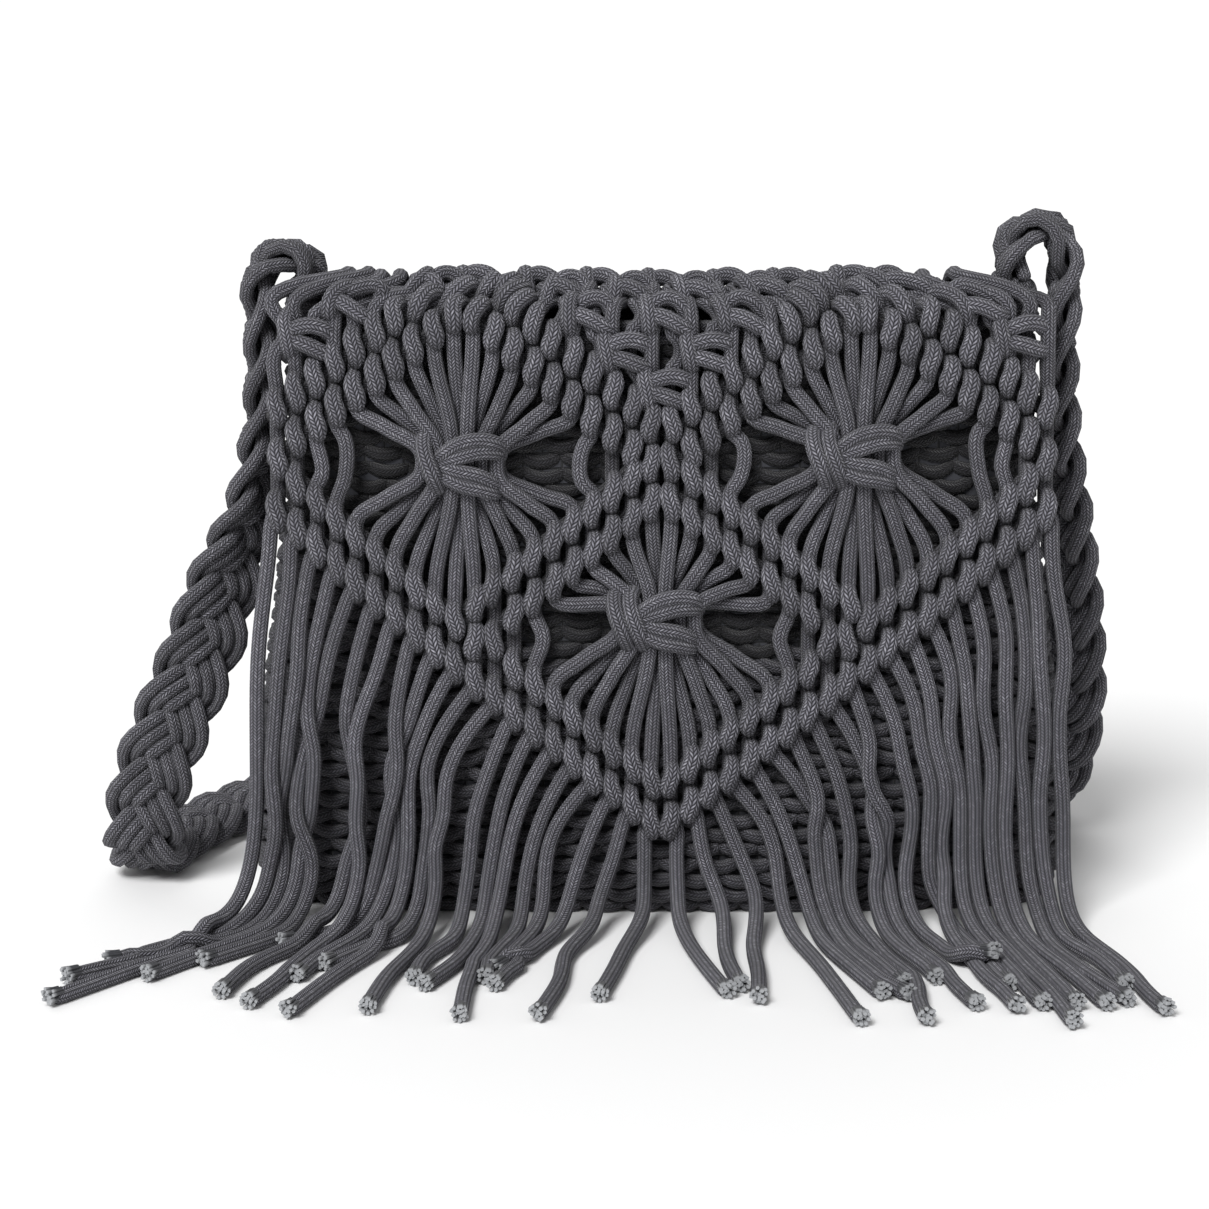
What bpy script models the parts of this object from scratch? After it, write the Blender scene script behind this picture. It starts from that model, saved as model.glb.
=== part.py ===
# A macrame shoulder bag of braided cotton cord, standing on a table: a hollow knotted pouch,
# a pierced flap with three gathered medallions, a long fringe that lies on the table, and a
# plaited strap that falls beside the pouch and lies in a loop behind it.
# Metres, +Z up, -Y to the front. The origin is the middle of the pouch's base.
import math
from collections import namedtuple

import bmesh
import bpy
from mathutils import Matrix, Vector

# Cord and seats
CORD = 0.0052  # diameter of the braided cord
CORD_PITCH = 0.00655  # from one cord of the flap to the next
CORD_COUNT = 40  # cords across the flap
SEAT_GAP = 0.0003  # air between two pieces that touch

# Pouch
POUCH_WIDTH = 0.270
POUCH_DEPTH = 0.060
POUCH_HEIGHT = 0.205  # at the mouth's corners
POUCH_WALL = 0.0056
POUCH_SQUARENESS = 3.0  # power of the rounded plan: 2 is an ellipse, more is boxier
RIM_SAG = 0.006  # the rim hangs this much lower between its corners
PLAN_POINTS = 36  # corners round the pouch's plan

# Flap
FLAP_SHEET = 0.0050  # thickness of the knotted sheet
FLAP_RIB = 0.0028  # how far the bars of hitches stand proud of it
FLAP_STANDOFF = 0.0012  # air between the flap and the pouch's front
FLAP_RISE = 0.0125  # height of the fold over the rim
FLAP_ROOT_CLEARANCE = 0.009  # air between the flap's root, behind, and each strap knot
FLAP_CURL = 0.004  # how far the flap's sides curl back
FLAP_SIDE_LENGTH = 0.067  # from the front of the fold down to the hem, at the flap's sides
FLAP_MIDDLE_LENGTH = 0.175  # the same in the middle, at the tip of the V
FOLD_STEPS = 6  # faces round the fold
BEND_COLUMNS = 5  # faces from the middle to each side, where the sheets curl

# Medallions: diamonds of hitched bars, their cords gathered in a square knot
DIAMOND_HALF_HEIGHT = 0.0527
MEDALLION_DROP = 0.041  # from the front of the fold down to the two upper knots
KNOT_WIDTH = 0.029
KNOT_HEIGHT = 0.0135
KNOT_THICKNESS = 0.0085
KNOT_EDGE = 0.0034  # radius of the knot's rounded edges
TOP_GAP_COUNT = 8  # openings between the square knots on top of the fold
TOP_GAP_SIZE = 0.0034

# Fringe
LOCK_COUNT = 20
LOCK_WIDTH = 2 * CORD
FRINGE_HEAD = 0.006  # depth of the strip that the locks grow from
FRINGE_ON_TABLE = 0.093  # length of each lock that lies on the table
FRINGE_BEND = 0.012  # radius where a lock turns from hanging to lying
TABLE_BEND_STEPS = 3  # faces round that turn
FRINGE_UNEVEN = 0.0075  # the most by which one lock is shorter than the next
UNEVEN_STEP = 2.4  # radians of the wave that the locks' lengths follow, from lock to lock
FRINGE_DRIFT = 0.014  # how far the outermost locks hang outwards
FAN_LEFT = 38.0  # degrees by which the outermost locks splay on the table
FAN_RIGHT = 24.0

# Strap
STRAP_WIDTH = 0.028
STRAP_THICKNESS = 0.013
STRAP_FLATNESS = 0.6  # power of the strap's oval section: 1 is an ellipse, less is flatter
STRAP_SIDES = 8
LOBE_PITCH = 0.0177  # from one lobe of the plait to the next along one edge
LOBE_DEPTH = 0.0035
STRAP_CLEARANCE = 0.0012  # air between the strap and the pouch's side
STRAP_SWING = 0.045  # how far the strap swings out to the left of the pouch
STRAP_REACH = 0.200  # how far back the strap lies on the table
STRAP_SETBACK = 0.004  # of the strap's knots and folds, behind the pouch's middle
FOLD_RADIUS = 0.0085  # of the strap's middle line where it folds over the rim
LEFT_FOLD_RISE = 0.0005  # straight stretch between a strap's knot and its fold
RIGHT_FOLD_RISE = 0.010
KNOT_BAND_WIDTH = 0.017  # the knot at each end of the strap
KNOT_BAND_HEIGHT = 0.008
KNOT_BAND_INSET = 0.0011  # the knot stops this far inside each edge of the strap
KNOT_BAND_EDGE = 0.002  # radius of its rounded edges
CURVE_STEPS = 8  # points from one stop of the strap's way to the next

# The pouch's plan at several heights, as shares of its height, width and depth
Section = namedtuple("Section", "up width depth")
POUCH_SECTIONS = (
    Section(0.00, 0.94, 0.66),
    Section(0.03, 1.00, 0.86),
    Section(0.09, 1.03, 0.97),
    Section(0.22, 1.03, 1.00),
    Section(0.42, 0.99, 0.97),
    Section(0.62, 0.955, 0.88),
    Section(0.82, 0.94, 0.76),
    Section(1.00, 0.94, 0.66),
)

# The strap's way from the pouch's left side to its right side. across is a share of the
# strap's place beside the pouch (-1 left, 1 right), out adds a share of STRAP_SWING, back is
# a share of STRAP_REACH, up of POUCH_HEIGHT, and turn is the heading of the strap's width.
Stop = namedtuple("Stop", "across out back up turn")
STRAP_STOPS = (
    Stop(-1.00, 0.00, 0.020, 0.93, 90),
    Stop(-1.00, -0.02, 0.020, 0.78, 86),
    Stop(-1.00, -0.10, 0.015, 0.64, 64),
    Stop(-1.00, -0.31, 0.010, 0.51, 32),
    Stop(-1.00, -0.50, 0.000, 0.39, 14),
    Stop(-1.00, -0.75, -0.005, 0.26, 5),
    Stop(-1.00, -0.93, 0.000, 0.15, 0),
    Stop(-1.00, -1.00, 0.030, 0.045, -6),
    Stop(-1.00, -0.99, 0.110, 0.00, -14),
    Stop(-1.00, -0.80, 0.260, 0.00, -24),
    Stop(-1.00, -0.36, 0.450, 0.00, -33),
    Stop(-0.93, 0.00, 0.650, 0.00, -42),
    Stop(-0.63, 0.00, 0.850, 0.00, -57),
    Stop(-0.26, 0.00, 0.965, 0.00, -76),
    Stop(0.15, 0.00, 0.980, 0.00, -95),
    Stop(0.53, 0.00, 0.890, 0.00, -114),
    Stop(0.83, 0.00, 0.715, 0.00, -136),
    Stop(1.00, 0.00, 0.500, 0.00, -154),
    Stop(1.00, 0.16, 0.330, 0.07, -172),
    Stop(1.00, 0.26, 0.240, 0.24, -212),
    Stop(1.00, 0.24, 0.180, 0.42, -236),
    Stop(1.00, 0.15, 0.120, 0.60, -254),
    Stop(1.00, 0.04, 0.060, 0.78, -266),
    Stop(1.00, 0.00, 0.020, 0.93, -270),
)

# Places inside a diamond, as shares of its half width and half height
GAP_PLACES = (-0.42, -0.26, -0.09, 0.09, 0.26, 0.42)  # gaps between the gathered cords
GAP_HALF = 0.040  # half of a gap's width at its outer end
GAP_INNER = 0.42  # where neighbouring cords part, from the knot outwards
OPEN_UP = 0.81  # the open middle reaches this far above the knot
OPEN_DOWN = 0.82
BAR_OVERLAP = 0.03  # how far the bars run past the ends of the gaps
SIDE_GAP_INNER = 0.25  # the wide gaps beside the knot
SIDE_GAP_OUTER = 0.60
SIDE_GAP_RISE = 0.24
SIDE_GAP_FALL = 0.30

FLAP_HALF = CORD_PITCH * CORD_COUNT / 2
DIAMOND_HALF_WIDTH = FLAP_HALF / 2
RIB_INSET = 0.0008  # the bars stop this far inside the flap's edges
BISECT_MERGE = 0.00002
RIM_MIDDLE = POUCH_HEIGHT - RIM_SAG
TOP_HALF_WIDTH = POUCH_WIDTH * POUCH_SECTIONS[-1].width / 2
TOP_HALF_DEPTH = POUCH_DEPTH * POUCH_SECTIONS[-1].depth / 2
STRAP_SIDE = TOP_HALF_WIDTH + STRAP_CLEARANCE + STRAP_THICKNESS / 2
STRAP_ROOT = STRAP_SIDE - 2 * FOLD_RADIUS
FLAP_ROOT_HALF = STRAP_ROOT - KNOT_BAND_WIDTH / 2 - FLAP_ROOT_CLEARANCE
STRAP_FOOT = POUCH_HEIGHT + 2 * SEAT_GAP + KNOT_BAND_HEIGHT

COTTON = (0.055, 0.056, 0.062)


def clear_scene():
    for obj in list(bpy.data.objects):
        bpy.data.objects.remove(obj)


def new_collection(name):
    collection = bpy.data.collections.new(name)
    bpy.context.scene.collection.children.link(collection)
    return collection


def cotton_material(name, shade):
    # Dull dyed cotton: rough, not metallic
    material = bpy.data.materials.new(name)
    material.use_nodes = True
    shader = material.node_tree.nodes["Principled BSDF"]
    shader.inputs["Base Color"].default_value = [c * shade for c in COTTON] + [1.0]
    shader.inputs["Roughness"].default_value = 0.95
    shader.inputs["Metallic"].default_value = 0.0
    return material


def add_piece(name, mesh, shade=1.0):
    mesh.materials.clear()
    mesh.materials.append(cotton_material(name + "_cotton", shade))
    piece = bpy.data.objects.new(name, mesh)
    pieces.objects.link(piece)
    piece.parent = bag
    return piece


def mesh_from(bm, name):
    # A mesh whose faces point outwards
    bmesh.ops.recalc_face_normals(bm, faces=bm.faces)
    if bm.calc_volume(signed=True) < 0:
        bmesh.ops.reverse_faces(bm, faces=bm.faces)
    mesh = bpy.data.meshes.new(name)
    bm.to_mesh(mesh)
    bm.free()
    return mesh


def evaluated_mesh(guide):
    # The finished mesh of a helper object, which is removed
    bpy.context.view_layer.update()
    graph = bpy.context.evaluated_depsgraph_get()
    mesh = bpy.data.meshes.new_from_object(guide.evaluated_get(graph))
    mesh.transform(guide.matrix_world)
    bpy.data.objects.remove(guide)
    return mesh


def loft(rings, close_start, close_end):
    # Joins rings of equally many points with quads
    bm = bmesh.new()
    made = [[bm.verts.new(p) for p in ring] for ring in rings]
    count = len(made[0])
    for low, high in zip(made, made[1:]):
        for i in range(count):
            j = (i + 1) % count
            bm.faces.new((low[i], low[j], high[j], high[i]))
    if close_start:
        bm.faces.new(made[0])
    if close_end:
        bm.faces.new(made[-1])
    return bm


# Pouch

def plan_share(across):
    # Half depth of the rounded plan at a share of its half width
    return (1 - min(abs(across), 1.0) ** POUCH_SQUARENESS) ** (1 / POUCH_SQUARENESS)


def rim_lift(across):
    # The rim rises from its middle to its corners
    return RIM_SAG * min(abs(across), 1.0) ** 2


def plan_ring(section):
    ring = []
    power = 2 / POUCH_SQUARENESS
    for i in range(PLAN_POINTS):
        angle = math.tau * i / PLAN_POINTS
        c, s = math.cos(angle), math.sin(angle)
        x = math.copysign(abs(c) ** power, c)
        y = math.copysign(abs(s) ** power, s)
        z = section.up * (RIM_MIDDLE + rim_lift(x))
        half_width = POUCH_WIDTH * section.width / 2
        half_depth = POUCH_DEPTH * section.depth / 2
        ring.append(Vector((half_width * x, half_depth * y, z)))
    return ring


def make_pouch():
    shell = loft([plan_ring(s) for s in POUCH_SECTIONS], close_start=True, close_end=False)
    pouch = add_piece("pouch", mesh_from(shell, "pouch"))
    wall = pouch.modifiers.new("wall", "SOLIDIFY")
    wall.thickness = POUCH_WALL
    wall.offset = -1
    wall.use_even_offset = True


# Drape: one line from the flap's root on the back rim, over the mouth, down the front and
# forward along the table. The flap and the fringe are flat sheets laid along it.

def drape_line():
    back = TOP_HALF_DEPTH - POUCH_WALL / 2
    front = TOP_HALF_DEPTH + FLAP_STANDOFF + FLAP_SHEET / 2
    rim = RIM_MIDDLE + SEAT_GAP
    line = []
    for i in range(FOLD_STEPS + 1):
        angle = math.pi * i / FOLD_STEPS
        y = (back - front) / 2 + (back + front) / 2 * math.cos(angle)
        line.append(Vector((0, y, rim + FLAP_RISE * math.sin(angle))))
    widest = front
    for section in reversed(POUCH_SECTIONS[:-1]):
        height = section.up * RIM_MIDDLE
        if height < FRINGE_BEND + FLAP_SHEET:
            break
        depth = POUCH_DEPTH * section.depth / 2 + FLAP_STANDOFF + FLAP_SHEET / 2
        widest = max(widest, depth)
        line.append(Vector((0, -widest, height)))
    for i in range(TABLE_BEND_STEPS + 1):
        angle = math.pi / 2 * i / TABLE_BEND_STEPS
        y = -widest - FRINGE_BEND * (1 - math.cos(angle))
        z = FLAP_SHEET / 2 + FRINGE_BEND * (1 - math.sin(angle))
        line.append(Vector((0, y, z)))
    run = FRINGE_ON_TABLE - FRINGE_BEND * math.pi / 4
    line.append(line[-1] + Vector((0, -run, 0)))
    return line


def lengths_along(line):
    total = [0.0]
    for a, b in zip(line, line[1:]):
        total.append(total[-1] + (b - a).length)
    return total


def corner_normal(line, i):
    # Outward direction at one corner of the line, longer at a sharp corner, so that a sheet
    # keeps its thickness on both sides of it. The flap's root stands square on the rim.
    if i == 0:
        return Vector((0, 1, 0))
    before = (line[i] - line[i - 1]).normalized()
    after = before if i == len(line) - 1 else (line[i + 1] - line[i]).normalized()
    middle = (before + after).normalized()
    return Vector((0, middle.z, -middle.y)) / middle.dot(after)


def drape(across, along, lift):
    # A flat sheet's point, at lift above the sheet's middle, laid on the drape
    last = len(ALONG) - 2
    i = next((k for k in range(last) if along <= ALONG[k + 1]), last)
    share = (along - ALONG[i]) / (ALONG[i + 1] - ALONG[i])
    middle = DRAPE[i].lerp(DRAPE[i + 1], share)
    point = middle + NORMALS[i].lerp(NORMALS[i + 1], share) * lift
    x, y, z = across, point.y, point.z
    u = across / FLAP_HALF
    rim_share = min(max(z / RIM_MIDDLE, 0.0), 1.0)
    z += rim_lift(across / TOP_HALF_WIDTH) * rim_share ** 2
    if y > 0:
        rounded = TOP_HALF_DEPTH * (plan_share(across / TOP_HALF_WIDTH) - 1)
        y += rounded * min(middle.y / DRAPE[0].y, 1.0)
    else:
        y += FLAP_CURL * abs(u) ** 3 * min(-y / TOP_HALF_DEPTH, 1.0)
    fallen = (along - SIDE_HEM) / (TABLE_START - SIDE_HEM)
    x += FRINGE_DRIFT * u * abs(u) * min(max(fallen, 0.0), 1.0)
    run = max(along - TABLE_START, 0.0)
    fan = math.radians(FAN_RIGHT if u > 0 else FAN_LEFT) * u
    x += run * math.sin(fan)
    y += run * (1 - math.cos(fan))
    return Vector((x, y, z))


def flat_sheet(name, outline, gaps, low, high):
    # A flat outline with gaps, filled and thickened from low to high
    curve = bpy.data.curves.new(name, "CURVE")
    curve.dimensions = "2D"
    curve.fill_mode = "BOTH"
    curve.extrude = (high - low) / 2
    for loop in [outline, *gaps]:
        spline = curve.splines.new("POLY")
        spline.points.add(len(loop) - 1)
        for point, (x, s) in zip(spline.points, loop):
            point.co = (x, s, 0, 1)
        spline.use_cyclic_u = True
    guide = bpy.data.objects.new(name, curve)
    helpers.objects.link(guide)
    guide.location.z = (high + low) / 2
    bm = bmesh.new()
    bm.from_mesh(evaluated_mesh(guide))
    bmesh.ops.remove_doubles(bm, verts=bm.verts, dist=1e-6)
    return mesh_from(bm, name)


def joined(name, first, second):
    base = bpy.data.objects.new(name, first)
    other = bpy.data.objects.new(name + "_other", second)
    for obj in (base, other):
        helpers.objects.link(obj)
    union = base.modifiers.new("union", "BOOLEAN")
    union.operation = "UNION"
    union.object = other
    union.solver = "EXACT"
    mesh = evaluated_mesh(base)
    bpy.data.objects.remove(other)
    return mesh


def draped_mesh(flat, name):
    # Cuts the flat sheet where it has to bend, then lays it on the drape
    columns = [FLAP_HALF * i / BEND_COLUMNS for i in range(1 - BEND_COLUMNS, BEND_COLUMNS)]
    bm = bmesh.new()
    bm.from_mesh(flat)
    bmesh.ops.triangulate(bm, faces=bm.faces)
    cuts = [(Vector((0, s, 0)), Vector((0, 1, 0))) for s in ALONG[1:-1]]
    cuts += [(Vector((x, 0, 0)), Vector((1, 0, 0))) for x in columns]
    for place, direction in cuts:
        whole = list(bm.verts) + list(bm.edges) + list(bm.faces)
        bmesh.ops.bisect_plane(bm, geom=whole, dist=1e-7, plane_co=place, plane_no=direction)
    bmesh.ops.remove_doubles(bm, verts=bm.verts, dist=BISECT_MERGE)
    bmesh.ops.triangulate(bm, faces=bm.faces)
    for vert in bm.verts:
        vert.co = drape(*vert.co)
    return mesh_from(bm, name)


# Flap

def hem_along(across):
    # Where the slanting hem lies along the drape
    middle = FOLD_FRONT + FLAP_MIDDLE_LENGTH
    return middle + (SIDE_HEM - middle) * min(abs(across) / FLAP_HALF, 1.0)


def medallions():
    # Each medallion's name and centre on the flat sheet: two above, one between them below
    upper = FOLD_FRONT + MEDALLION_DROP
    return (
        ("left", -DIAMOND_HALF_WIDTH, upper),
        ("right", DIAMOND_HALF_WIDTH, upper),
        ("lower", 0.0, upper + DIAMOND_HALF_HEIGHT),
    )


def medallion_gaps(x, s):
    # Narrow gaps between the gathered cords above and below the knot, and a wide one at
    # each side of it
    gaps = []
    wide, tall = DIAMOND_HALF_WIDTH, DIAMOND_HALF_HEIGHT
    for rise, reach in ((-1, OPEN_UP), (1, OPEN_DOWN)):
        for place in GAP_PLACES:
            ends = (place - GAP_HALF, place + GAP_HALF)
            outer = [(e * wide, rise * tall * (reach - abs(e))) for e in ends]
            tip = rise * tall * (reach - abs(place)) * GAP_INNER
            inner = (place * wide * GAP_INNER, tip)
            gaps.append([(x + u, s + v) for u, v in [*outer, inner]])
    for side in (-1, 1):
        corners = (
            (SIDE_GAP_INNER, 0.0),
            (SIDE_GAP_OUTER, -SIDE_GAP_RISE),
            (SIDE_GAP_OUTER, SIDE_GAP_FALL),
        )
        gaps.append([(x + side * u * wide, s + v * tall) for u, v in corners])
    return gaps


def top_gaps():
    # Small openings between the square knots on the fold's top, in a row that bows as the
    # rim does
    half = TOP_GAP_SIZE / 2
    gaps = []
    for i in range(TOP_GAP_COUNT):
        share = (2 * i + 1) / TOP_GAP_COUNT - 1
        x = FLAP_ROOT_HALF * share
        place = ALONG[FOLD_STEPS // 2] + TOP_GAP_SIZE + rim_lift(share) / 2
        gaps.append([(x - half, place), (x, place - half), (x + half, place), (x, place + half)])
    return gaps


def flap_outline():
    # Narrow behind, between the strap's knots, and full width from the front of the fold
    left = [
        (-FLAP_HALF, SIDE_HEM),
        (-FLAP_HALF, ALONG[FOLD_STEPS - 1]),
        (-FLAP_ROOT_HALF, ALONG[FOLD_STEPS - 2]),
        (-FLAP_ROOT_HALF, 0.0),
    ]
    right = [(-x, s) for x, s in reversed(left)]
    return [*left, *right, (0.0, hem_along(0.0))]


def rib_outline(upper):
    # The net of hitched bars: it peaks over the upper medallions and ends at the hem
    edge = FLAP_HALF - RIB_INSET
    peak = upper - DIAMOND_HALF_HEIGHT
    valley = upper - DIAMOND_HALF_HEIGHT * (1 - OPEN_UP)
    hem = hem_along(edge) - RIB_INSET
    return [
        (-edge, valley),
        (-DIAMOND_HALF_WIDTH, peak),
        (0.0, valley),
        (DIAMOND_HALF_WIDTH, peak),
        (edge, valley),
        (edge, hem),
        (0.0, hem_along(0.0) - RIB_INSET),
        (-edge, hem),
    ]


def open_middle(x, s):
    # The low middle of a diamond, inside its bars
    wide = DIAMOND_HALF_WIDTH * (SIDE_GAP_OUTER + BAR_OVERLAP)
    shoulder = DIAMOND_HALF_HEIGHT * (SIDE_GAP_FALL + BAR_OVERLAP)
    up = DIAMOND_HALF_HEIGHT * (OPEN_UP + BAR_OVERLAP)
    down = DIAMOND_HALF_HEIGHT * (OPEN_DOWN + BAR_OVERLAP)
    return [
        (x, s - up),
        (x + wide, s - shoulder),
        (x + wide, s + shoulder),
        (x, s + down),
        (x - wide, s + shoulder),
        (x - wide, s - shoulder),
    ]


def make_flap():
    centres = [(x, s) for _, x, s in medallions()]
    gaps = [gap for x, s in centres for gap in medallion_gaps(x, s)] + top_gaps()
    half = FLAP_SHEET / 2
    sheet = flat_sheet("sheet", flap_outline(), gaps, -half, half)
    middles = [open_middle(x, s) for x, s in centres]
    ribs = flat_sheet("ribs", rib_outline(centres[0][1]), middles, 0.0, half + FLAP_RIB)
    add_piece("flap", draped_mesh(joined("flap", sheet, ribs), "flap"))


def rounded_block(name, width, depth, height, radius):
    bm = bmesh.new()
    bmesh.ops.create_cube(bm, size=1.0)
    bmesh.ops.scale(bm, vec=(width, depth, height), verts=bm.verts)
    block = add_piece(name, mesh_from(bm, name), 1.1)
    edges = block.modifiers.new("edges", "BEVEL")
    edges.width = radius
    edges.segments = 2
    return block


def make_medallion_knot(name, x, s):
    # A rounded knot on the front of the gathered cords
    knot = rounded_block(
        "medallion_knot_" + name, KNOT_WIDTH, KNOT_THICKNESS, KNOT_HEIGHT, KNOT_EDGE
    )
    seat = FLAP_SHEET / 2 + SEAT_GAP + KNOT_THICKNESS / 2
    up = drape(x, s - KNOT_HEIGHT / 2, seat) - drape(x, s + KNOT_HEIGHT / 2, seat)
    right = drape(x + KNOT_WIDTH / 2, s, seat) - drape(x - KNOT_WIDTH / 2, s, seat)
    back = up.cross(right).normalized()
    right = back.cross(up)
    turn = Matrix((right.normalized(), back, up.normalized())).transposed()
    knot.location = drape(x, s, seat)
    knot.rotation_euler = turn.to_euler()


# Fringe

def comb_outline():
    # A head along the flap's hem with one long tooth for each lock
    top = 2 * SEAT_GAP
    pitch = 2 * FLAP_HALF / LOCK_COUNT
    space = pitch - LOCK_WIDTH
    side = FLAP_HALF - space / 2
    outline = [(-side, hem_along(side) + top), (0.0, hem_along(0.0) + top)]
    outline.append((side, hem_along(side) + top))
    for k in reversed(range(LOCK_COUNT)):
        middle = pitch * (k + 0.5) - FLAP_HALF
        right, left = middle + LOCK_WIDTH / 2, middle - LOCK_WIDTH / 2
        uneven = FRINGE_UNEVEN / 2 * (1 + math.sin(UNEVEN_STEP * k))
        outline += [(right, ALONG[-1] - uneven), (left, ALONG[-1] - uneven)]
        if k:
            for x in (left, left - space):
                outline.append((x, hem_along(x) + top + FRINGE_HEAD))
    return outline


def make_fringe():
    half = FLAP_SHEET / 2
    flat = flat_sheet("comb", comb_outline(), [], -half, half)
    add_piece("fringe", draped_mesh(flat, "fringe"))


# Strap

def strap_fold(side, rise, turn):
    # Straight up from the knot on the rim, then over and down beside the pouch
    middle = (STRAP_ROOT + STRAP_SIDE) / 2
    stops = [(Vector((side * STRAP_ROOT, STRAP_SETBACK, STRAP_FOOT)), turn)]
    for degrees in (0, 45, 90, 135, 180):
        angle = math.radians(degrees)
        x = side * (middle - FOLD_RADIUS * math.cos(angle))
        z = STRAP_FOOT + rise + FOLD_RADIUS * math.sin(angle)
        stops.append((Vector((x, STRAP_SETBACK, z)), turn))
    return stops


def strap_stops():
    # Every chosen point of the strap's middle line, with the heading of its width
    stops = strap_fold(-1, LEFT_FOLD_RISE, STRAP_STOPS[0].turn)
    for stop in STRAP_STOPS:
        x = stop.across * STRAP_SIDE + stop.out * STRAP_SWING
        z = STRAP_THICKNESS / 2 + stop.up * POUCH_HEIGHT
        stops.append((Vector((x, stop.back * STRAP_REACH, z)), stop.turn))
    stops += reversed(strap_fold(1, RIGHT_FOLD_RISE, STRAP_STOPS[-1].turn))
    return stops


def smooth_line(stops, steps):
    # A smooth curve through the stops, whose fourth coordinate is the heading. It is level
    # where a stop lies on the table.
    points = [Vector((*place, turn / 1000)) for place, turn in stops]
    gaps = [max((b.xyz - a.xyz).length, 1e-6) for a, b in zip(points, points[1:])]
    slopes = []
    for i in range(len(points)):
        if 0 < i < len(points) - 1:
            before = (points[i] - points[i - 1]) / gaps[i - 1]
            after = (points[i + 1] - points[i]) / gaps[i]
            weight = gaps[i - 1] + gaps[i]
            slopes.append((before * gaps[i] + after * gaps[i - 1]) / weight)
        else:
            k = min(i, len(points) - 2)
            slopes.append((points[k + 1] - points[k]) / gaps[k])
        if points[i].z < STRAP_THICKNESS / 2 + SEAT_GAP:
            slopes[i].z = 0
    line = []
    for i, gap in enumerate(gaps):
        for k in range(steps):
            t = k / steps
            a = (1 + 2 * t) * (1 - t) ** 2
            b = t * t * (3 - 2 * t)
            start, end = slopes[i] * gap, slopes[i + 1] * gap
            bend = start * (t * (1 - t) ** 2) - end * (t * t * (1 - t))
            line.append(points[i] * a + points[i + 1] * b + bend)
    return [*line, points[-1]]


def even_stations(line, spacing):
    # Points at equal lengths along the line
    total = lengths_along([p.xyz for p in line])
    count = round(total[-1] / spacing)
    stations = []
    k = 0
    for i in range(count + 1):
        place = total[-1] * i / count
        while k < len(total) - 2 and total[k + 1] < place:
            k += 1
        share = (place - total[k]) / (total[k + 1] - total[k])
        stations.append((line[k].lerp(line[k + 1], share), place))
    return stations


def strap_ring(station, along, tangent):
    # A flat oval whose two edges swell in turn, as a plait's do
    turn = math.radians(station.w * 1000)
    width = Vector((math.cos(turn), math.sin(turn), 0))
    width = (width - tangent * width.dot(tangent)).normalized()
    face = tangent.cross(width)
    swell = LOBE_DEPTH / 2 * math.cos(math.tau * along / LOBE_PITCH)
    valley = STRAP_WIDTH / 2 - LOBE_DEPTH / 2
    ring = []
    for i in range(STRAP_SIDES):
        angle = math.tau * i / STRAP_SIDES
        c, s = math.cos(angle), math.sin(angle)
        side = 1 if c > 0 else -1
        across = side * abs(c) ** STRAP_FLATNESS * (valley + side * swell)
        over = math.copysign(abs(s) ** STRAP_FLATNESS, s) * STRAP_THICKNESS / 2
        ring.append(station.xyz + width * across + face * over)
    return ring


def make_strap():
    stations = even_stations(smooth_line(strap_stops(), CURVE_STEPS), LOBE_PITCH / 4)
    rings = []
    last = len(stations) - 1
    for i, (station, along) in enumerate(stations):
        tangent = stations[min(i + 1, last)][0].xyz - stations[max(i - 1, 0)][0].xyz
        if i in (0, last):
            tangent = Vector((0, 0, 1 if i == 0 else -1))
        rings.append(strap_ring(station, along, tangent.normalized()))
    add_piece("strap", mesh_from(loft(rings, close_start=True, close_end=True), "strap"))


def make_strap_knot(name, side):
    # The band that binds the strap's root to the rim's corner
    depth = STRAP_WIDTH - 2 * KNOT_BAND_INSET
    knot = rounded_block(
        "strap_knot_" + name, KNOT_BAND_WIDTH, depth, KNOT_BAND_HEIGHT, KNOT_BAND_EDGE
    )
    height = POUCH_HEIGHT + SEAT_GAP + KNOT_BAND_HEIGHT / 2
    knot.location = (side * STRAP_ROOT, STRAP_SETBACK, height)


clear_scene()
pieces = new_collection("macrame_bag")
helpers = new_collection("helpers")
helpers.hide_render = True
bag = bpy.data.objects.new("bag", None)
pieces.objects.link(bag)

DRAPE = drape_line()
ALONG = lengths_along(DRAPE)
NORMALS = [corner_normal(DRAPE, i) for i in range(len(DRAPE))]
FOLD_FRONT = ALONG[FOLD_STEPS]
SIDE_HEM = FOLD_FRONT + FLAP_SIDE_LENGTH
TABLE_START = ALONG[-2]

make_pouch()
make_flap()
for medallion in medallions():
    make_medallion_knot(*medallion)
make_fringe()
make_strap()
make_strap_knot("left", -1)
make_strap_knot("right", 1)
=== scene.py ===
import math

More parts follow.
